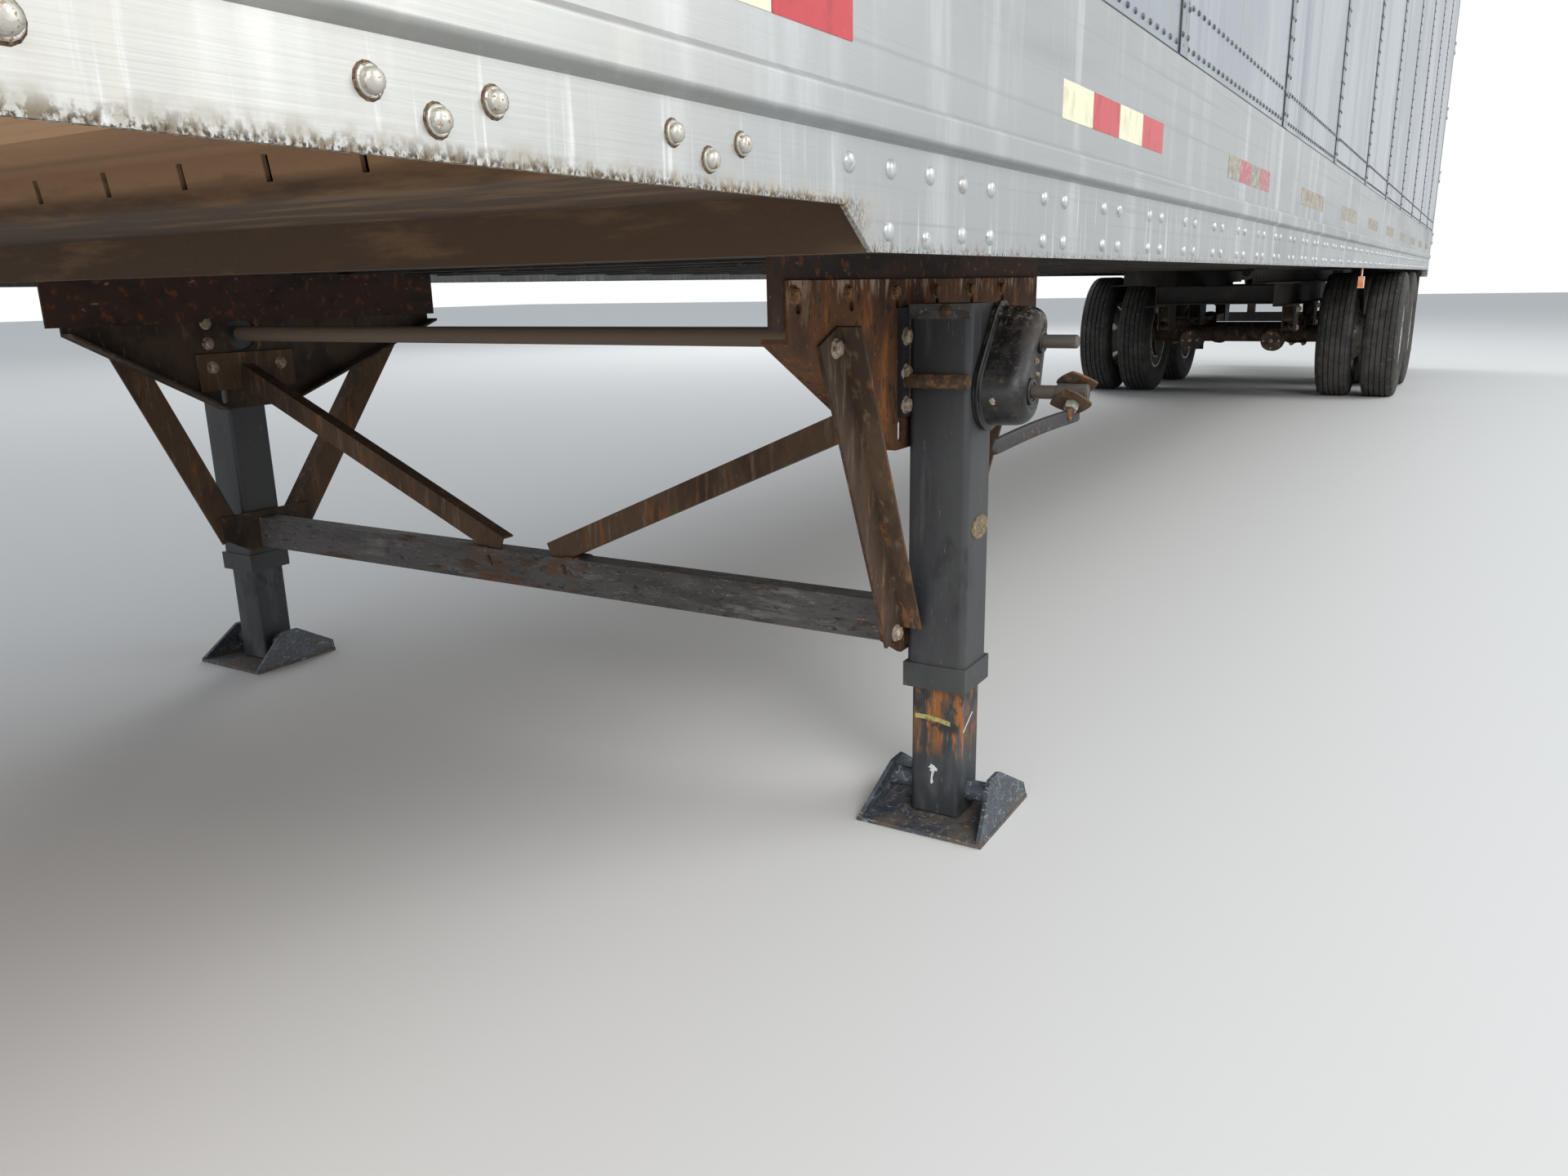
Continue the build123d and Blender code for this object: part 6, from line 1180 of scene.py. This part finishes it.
def leg_fittings():
    """Blank oval plate, cap strips with their bolts, flange stubs and paint marks on the inner leg."""
    turn = turn_steps(32)
    oval = np.stack([OVAL_HALF[0] * np.cos(turn), OVAL_HALF[1] * np.sin(turn)], axis=-1)
    plates = []
    for share, low, high in ((1.0, 0.0, 0.0012), (0.93, 0.0012, 0.0022), (0.86, 0.0010, 0.0016)):
        plates.append(slab(oval * share + OVAL_CENTRE, 0, LEG_FACE_X + low, LEG_FACE_X + high))
    show("blank_oval_plate", plates, "dull brass")
    front = LEG_FRONT_Y - 0.0055
    both("cap_strip", [plate((0.985, front, 0.938), (1.097, LEG_FRONT_Y, 0.963))], "weathered grey strip",
         smooth=0)
    caps = copies(hex_bolt(0.009, 0.006), [(1.052, front, 0.951)], FORWARD)
    stub = tube(line(0, (0.984, 1.100), (0, LEG_FRONT_Y - 0.0135, 0.833)), 0.0125, 18)
    both("flange_stub", [stub, caps], "rusted weld bead")
    marks = (1, TUBE_FRONT_Y - MARK_THICKNESS, TUBE_FRONT_Y)
    along = np.linspace(0.999, 1.070, 24)
    sag = 0.204 + 0.003 * np.sin((along - 0.990) * 40) - 0.07 * (along - 0.99)
    stroke = np.concatenate([np.stack([along, sag + 0.0045], axis=-1),
                             np.stack([along, sag - 0.0045], axis=-1)[::-1]])
    show("yellow_tube_mark", [slab(stroke, *marks)], "yellow paint stick", smooth=0)
    drip = [(1.032, 0.111), (1.039, 0.109), (1.042, 0.106), (1.046, 0.103), (1.045, 0.098), (1.041, 0.099),
            (1.038, 0.092), (1.036, 0.082), (1.038, 0.074), (1.034, 0.070), (1.032, 0.074), (1.033, 0.084),
            (1.034, 0.095), (1.030, 0.098), (1.033, 0.102), (1.027, 0.104), (1.031, 0.107)]
    show("white_tube_mark", [slab(drip, *marks)], "white paint run", smooth=0)
    side = [(LEG_Y - 0.034, 0.181), (LEG_Y - 0.031, 0.179), (LEG_Y + 0.012, 0.206), (LEG_Y + 0.010, 0.209)]
    marks = (0, TUBE_SIDE_X, TUBE_SIDE_X + MARK_THICKNESS)
    show("side_tube_mark", [slab(side, *marks)], "white paint run", smooth=0)


def weld_beads():
    """Rippled beads where the crossbar meets the legs, along the leg flange and at the braces' feet."""
    foot, top = CROSSBAR_FOOT_Z, CROSSBAR_TOP_Z - 0.002
    front, back = LEG_Y - CROSSBAR_HALF_Y, LEG_Y + CROSSBAR_HALF_Y
    runs = [bead((FLANGE_X, front, z), (FLANGE_X, back, z), 0.0045) for z in (foot, top)]
    for y, flange_y in ((front, LEG_Y - 0.0545), (back, LEG_Y + 0.0545)):
        runs.append(bead((FLANGE_X, y, foot), (FLANGE_X, y, top), 0.0045))
        runs.append(bead((FLANGE_X + 0.001, flange_y, 0.775), (FLANGE_X + 0.001, flange_y, 0.950), 0.0040))
    for y in (LEG_Y - 0.021, LEG_Y + 0.021):
        runs.append(bead((0.168, y, CROSSBAR_TOP_Z), (0.112, y, CROSSBAR_TOP_Z), 0.0050))
    both("gear_welds", runs, "rusted weld bead")
    spatter = front - 0.001
    blobs = [bead((-0.112, spatter, 0.396), (-0.104, spatter, 0.372), 0.006),
             bead((0.118, spatter, 0.398), (0.126, spatter, 0.376), 0.006)]
    show("crossbar_weld_spatter", blobs, "rusted weld bead")


# Rear

def rear_fittings():
    """Door seals, hinge and guide bolts on the doors that carry them, bumper bolts and lamp rims."""
    hinges = [(x, HINGE_BOLT_Y, z) for z in HINGE_HEIGHTS for x in STRAP_BOLTS]
    guides = [(x + way * 0.019, GUIDE_Y, z) for x in ROD_OFFSETS for z in GUIDE_HEIGHTS for way in (-1, 1)]
    heads = [copies(hex_bolt(0.010, 0.008), hinges, BACK), copies(hex_bolt(0.006, 0.005), guides, BACK)]
    outer = rounded(SEAL_CENTRE, SEAL_OUTER, 0.006, 3)
    inner = rounded(SEAL_CENTRE, SEAL_INNER, 0.004, 3)
    front, back = DOOR_FACE_Y - 0.001, DOOR_FACE_Y + 0.003
    loops = [(outer, front), (outer, back), (inner, back), (inner, front)]
    seal = rings(np.stack([np.insert(rows, 1, y, axis=1) for rows, y in loops]), along=True)
    for side, turned in SIDES:
        body = f"door_{side}"
        show(f"door_bolts_{side}", [turned(shape) for shape in heads], "zinc bolt", body)
        show(f"door_seal_{side}", [turned(seal)], "aged black sealant", body)
    pads = [(x, BUMPER_Y, z) for x in (1.105, 1.195) for z in (0.990, 1.050)]
    both("bumper_bolts", [copies(hex_bolt(0.013, 0.010), pads, BACK)], "dusty rusted bolt")
    rim = disc_stack([(0.056, 0), (0.056, 0.008), (0.0535, 0.011), (0.0505, 0.011)], 36)
    both("lamp_rims", [copies(rim, [(x, REAR_Y, LAMP_Z)], BACK) for x in LAMP_OFFSETS], "moulded rubber")


# Stage

FLOOR_HALF = 60.0

# Each lamp as name, place, aim, size and power in watts
LAMPS = (("key lamp", (9.0, -13.0, 9.0), (0.6, -3.0, 0.8), 7.0, 1500.0),
         ("side lamp", (12.0, 3.0, 7.0), (1.0, 1.0, 1.5), 9.0, 1100.0),
         ("low fill", (1.0, -13.0, 1.6), (0.0, -4.5, 0.9), 4.0, 260.0),
         ("rear lamp", (-9.0, 12.0, 9.0), (0.0, 5.0, 1.5), 8.0, 900.0))


def stage(settings):
    """Pale floor, soft area lamps, an even sky and the camera at the photograph's angle."""
    scene = bpy.context.scene
    floor = bpy.data.meshes.new("floor")
    corners = [(x * FLOOR_HALF, y * FLOOR_HALF, 0) for x, y in ((-1, -1), (1, -1), (1, 1), (-1, 1))]
    floor.from_pydata(corners, [], [(0, 1, 2, 3)])
    plane = bpy.data.objects.new("floor", floor)
    scene.collection.objects.link(plane)
    paper = bpy.data.materials.new("pale studio floor")
    tree = empty_tree(paper)
    shader = add(tree, "ShaderNodeBsdfPrincipled", {"Base Color": linear("#D9D8D5"), "Roughness": 0.9})
    add(tree, "ShaderNodeOutputMaterial", {"Surface": shader.outputs[0]})
    floor.materials.append(paper)

    world = bpy.data.worlds.new("studio sky")
    scene.world = world
    tree = empty_tree(world)
    paths = add(tree, "ShaderNodeLightPath").outputs
    seen = paths["Is Camera Ray"]
    for ray in ("Is Glossy Ray", "Is Transmission Ray"):
        seen = add(tree, "ShaderNodeMath", {0: seen, 1: paths[ray]}, operation="MAXIMUM").outputs[0]
    dim = add(tree, "ShaderNodeBackground", {"Color": linear("#DDE6F0"), "Strength": settings.sky_strength})
    white = add(tree, "ShaderNodeBackground", {"Color": linear("#FFFFFF"), "Strength": 1.0})
    mixed = add(tree, "ShaderNodeMixShader", {0: seen, 1: dim.outputs[0], 2: white.outputs[0]})
    add(tree, "ShaderNodeOutputWorld", {"Surface": mixed.outputs[0]})

    for name, spot, aim, size, power in LAMPS:
        lamp = bpy.data.lights.new(name, "AREA")
        lamp.size = size
        lamp.energy = power * settings.lamp_share
        holder = bpy.data.objects.new(name, lamp)
        scene.collection.objects.link(holder)
        holder.location = spot
        holder.rotation_euler = (Vector(aim) - Vector(spot)).to_track_quat("-Z", "Y").to_euler()

    lens = bpy.data.cameras.new("camera")
    lens.lens = settings.lens
    lens.sensor_width = 36.0
    lens.clip_end = 200.0
    viewer = bpy.data.objects.new("camera", lens)
    scene.collection.objects.link(viewer)
    viewer.location = settings.camera_place
    viewer.rotation_euler = settings.camera_turn
    scene.camera = viewer
    scene.view_settings.view_transform = "Standard"


def colour(name, description, hex_colour):
    """A colour property whose default is the given sRGB hex value."""
    return FloatVectorProperty(name=name, description=description, subtype="COLOR", size=3,
                               default=linear(hex_colour)[:3], min=0.0, max=1.0)


def length(name, description, default, low, high):
    """A property in metres, with its limits."""
    return FloatProperty(name=name, description=description, unit="LENGTH", default=default,
                         min=low, max=high)


class TrailerColours(bpy.types.PropertyGroup):
    """Base colours of the finishes that a user would change."""
    rail: colour("Rails", "Bare aluminium of the bottom rails", "#A0A3A4")
    # The walls' blue tint is a painted sky reflection.
    wall: colour("Walls", "Rolled plates of the walls", "#9BA4AC")
    tape_white: colour("Tape, white", "Pale blocks of the marking film", "#DAD7B6")
    tape_red: colour("Tape, red", "Red blocks of the marking film", "#B31224")
    rust: colour("Wing plates", "Rust scale of the wing plates", "#5E3A1D")
    leg: colour("Legs", "Paint of the outer legs", "#2A2B2E")
    crossbar: colour("Crossbar", "Coat of the landing gear's crossbar", "#4E4B4A")
    gearbox: colour("Gearbox", "Paint of the gearbox", "#151516")
    pan: colour("Nose pan", "Dusty pan under the nose", "#A8835F")
    running_gear: colour("Running gear", "Axles, springs and brake chambers", "#4A3B2F")
    tyre: colour("Tyres", "Rubber of the tyres", "#2C2B2A")
    door: colour("Doors", "Enamel of the rear doors", "#D6D5D0")


class TrailerSizes(bpy.types.PropertyGroup):
    """Sizes that the fittings share."""
    rail_bolt_radius: length("Rail bolt", "Radius of the rail's front bolts", 0.0076, 0.004, 0.014)
    rail_rivet_radius: length("Rail rivet", "Radius of the rail's rivets", 0.0108, 0.003, 0.015)
    wall_rivet_radius: length("Wall rivet", "Radius of the wall's rivets", 0.0062, 0.003, 0.009)
    gear_bolt_radius: length("Gear bolt", "Radius of the landing gear's bolt heads", 0.013, 0.008, 0.016)
    tape_block: length("Tape block", "Length of one block of marking film", 0.1524, 0.1, 0.3)
    tape_width: length("Tape width", "Width of the marking film", 0.053, 0.03, 0.08)
    tread_segments: IntProperty(name="Tread segments", description="Steps round each tyre", default=128,
                                min=24)


class TrailerStage(bpy.types.PropertyGroup):
    """Camera and light of the stage."""
    lens: FloatProperty(name="Lens", description="Focal length on a 36 mm wide frame", unit="CAMERA",
                        default=26.24)
    camera_place: FloatVectorProperty(name="Camera place", description="Where the camera stands",
                                      subtype="TRANSLATION", default=(1.8382, -6.4005, 0.998))
    camera_turn: FloatVectorProperty(name="Camera turn", description="Camera angles about X, Y and Z",
                                     subtype="EULER",
                                     default=(radians(75.179), radians(1.082), radians(30.701)))
    sky_strength: FloatProperty(name="Sky strength", description="How strongly the sky lights the trailer",
                                default=0.75, min=0.0)
    lamp_share: FloatProperty(name="Lamp share", description="Share of the lamps' full power", default=0.9,
                              min=0.0)


class TRAILER_OT_finishes(bpy.types.Operator):
    """Give every carried-over frame part its weathered finish"""
    bl_idname = "trailer.finishes"
    bl_label = "Frame finishes"

    def execute(self, context):
        for finish, names in CARRIED.items():
            for name in names:
                mesh = NODES[name].data
                mesh.materials.clear()
                mesh.materials.append(surface(finish))
        return {"FINISHED"}


class TRAILER_OT_fasteners(bpy.types.Operator):
    """Add the bolts, rivets and sealant of the rails, walls, nose and roof"""
    bl_idname = "trailer.fasteners"
    bl_label = "Body fasteners"

    def execute(self, context):
        sizes = context.scene.trailer_sizes
        rail_fasteners(sizes)
        wall_fasteners(sizes)
        nose_fasteners(sizes)
        return {"FINISHED"}


class TRAILER_OT_markings(bpy.types.Operator):
    """Add the reflective marking tape"""
    bl_idname = "trailer.markings"
    bl_label = "Marking tape"

    def execute(self, context):
        marking_tape(context.scene.trailer_sizes)
        return {"FINISHED"}


class TRAILER_OT_wheels(bpy.types.Operator):
    """Add the ribbed tyres, the wheel nuts and the suspension's fittings"""
    bl_idname = "trailer.wheels"
    bl_label = "Tyres and running gear"

    def execute(self, context):
        tyres(context.scene.trailer_sizes)
        wheel_details()
        suspension_fittings()
        return {"FINISHED"}


class TRAILER_OT_landing_gear(bpy.types.Operator):
    """Add the landing gear's bolts, gearbox shells, welds and small fittings"""
    bl_idname = "trailer.landing_gear"
    bl_label = "Landing gear fittings"

    def execute(self, context):
        gear_bolts(context.scene.trailer_sizes)
        gearbox_shell()
        crank()
        clevis_fittings()
        leg_fittings()
        weld_beads()
        return {"FINISHED"}


class TRAILER_OT_rear(bpy.types.Operator):
    """Add the door seals and the bolts and rims of the rear"""
    bl_idname = "trailer.rear"
    bl_label = "Rear fittings"

    def execute(self, context):
        rear_fittings()
        return {"FINISHED"}


class TRAILER_OT_stage(bpy.types.Operator):
    """Set out the floor, lamps, sky and camera"""
    bl_idname = "trailer.stage"
    bl_label = "Stage"

    def execute(self, context):
        stage(context.scene.trailer_stage)
        return {"FINISHED"}


class TRAILER_PT_panel(bpy.types.Panel):
    """Sidebar panel that lists the trailer's operators and settings"""
    bl_idname = "TRAILER_PT_panel"
    bl_label = "Semi trailer"
    bl_space_type = "VIEW_3D"
    bl_region_type = "UI"
    bl_category = "Trailer"

    def draw(self, context):
        scene = context.scene
        for operator in OPERATORS:
            self.layout.operator(operator.bl_idname)
        for group in (scene.trailer_colours, scene.trailer_sizes, scene.trailer_stage):
            for name in group.__annotations__:
                self.layout.prop(group, name)


OPERATORS = (TRAILER_OT_finishes, TRAILER_OT_fasteners, TRAILER_OT_markings, TRAILER_OT_wheels,
             TRAILER_OT_landing_gear,
             TRAILER_OT_rear, TRAILER_OT_stage)
CLASSES = (TrailerColours, TrailerSizes, TrailerStage) + OPERATORS + (TRAILER_PT_panel,)


def register():
    """Register the classes and hang the settings on the scene."""
    for item in CLASSES:
        bpy.utils.register_class(item)
    bpy.types.Scene.trailer_colours = bpy.props.PointerProperty(type=TrailerColours)
    bpy.types.Scene.trailer_sizes = bpy.props.PointerProperty(type=TrailerSizes)
    bpy.types.Scene.trailer_stage = bpy.props.PointerProperty(type=TrailerStage)


def unregister():
    """Take the settings and the classes away again."""
    del bpy.types.Scene.trailer_stage
    del bpy.types.Scene.trailer_sizes
    del bpy.types.Scene.trailer_colours
    for item in reversed(CLASSES):
        bpy.utils.unregister_class(item)


def main():
    """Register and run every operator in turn."""
    register()
    for operator in OPERATORS:
        group, name = operator.bl_idname.split(".")
        getattr(getattr(bpy.ops, group), name)()


if __name__ == "__main__":
    main()
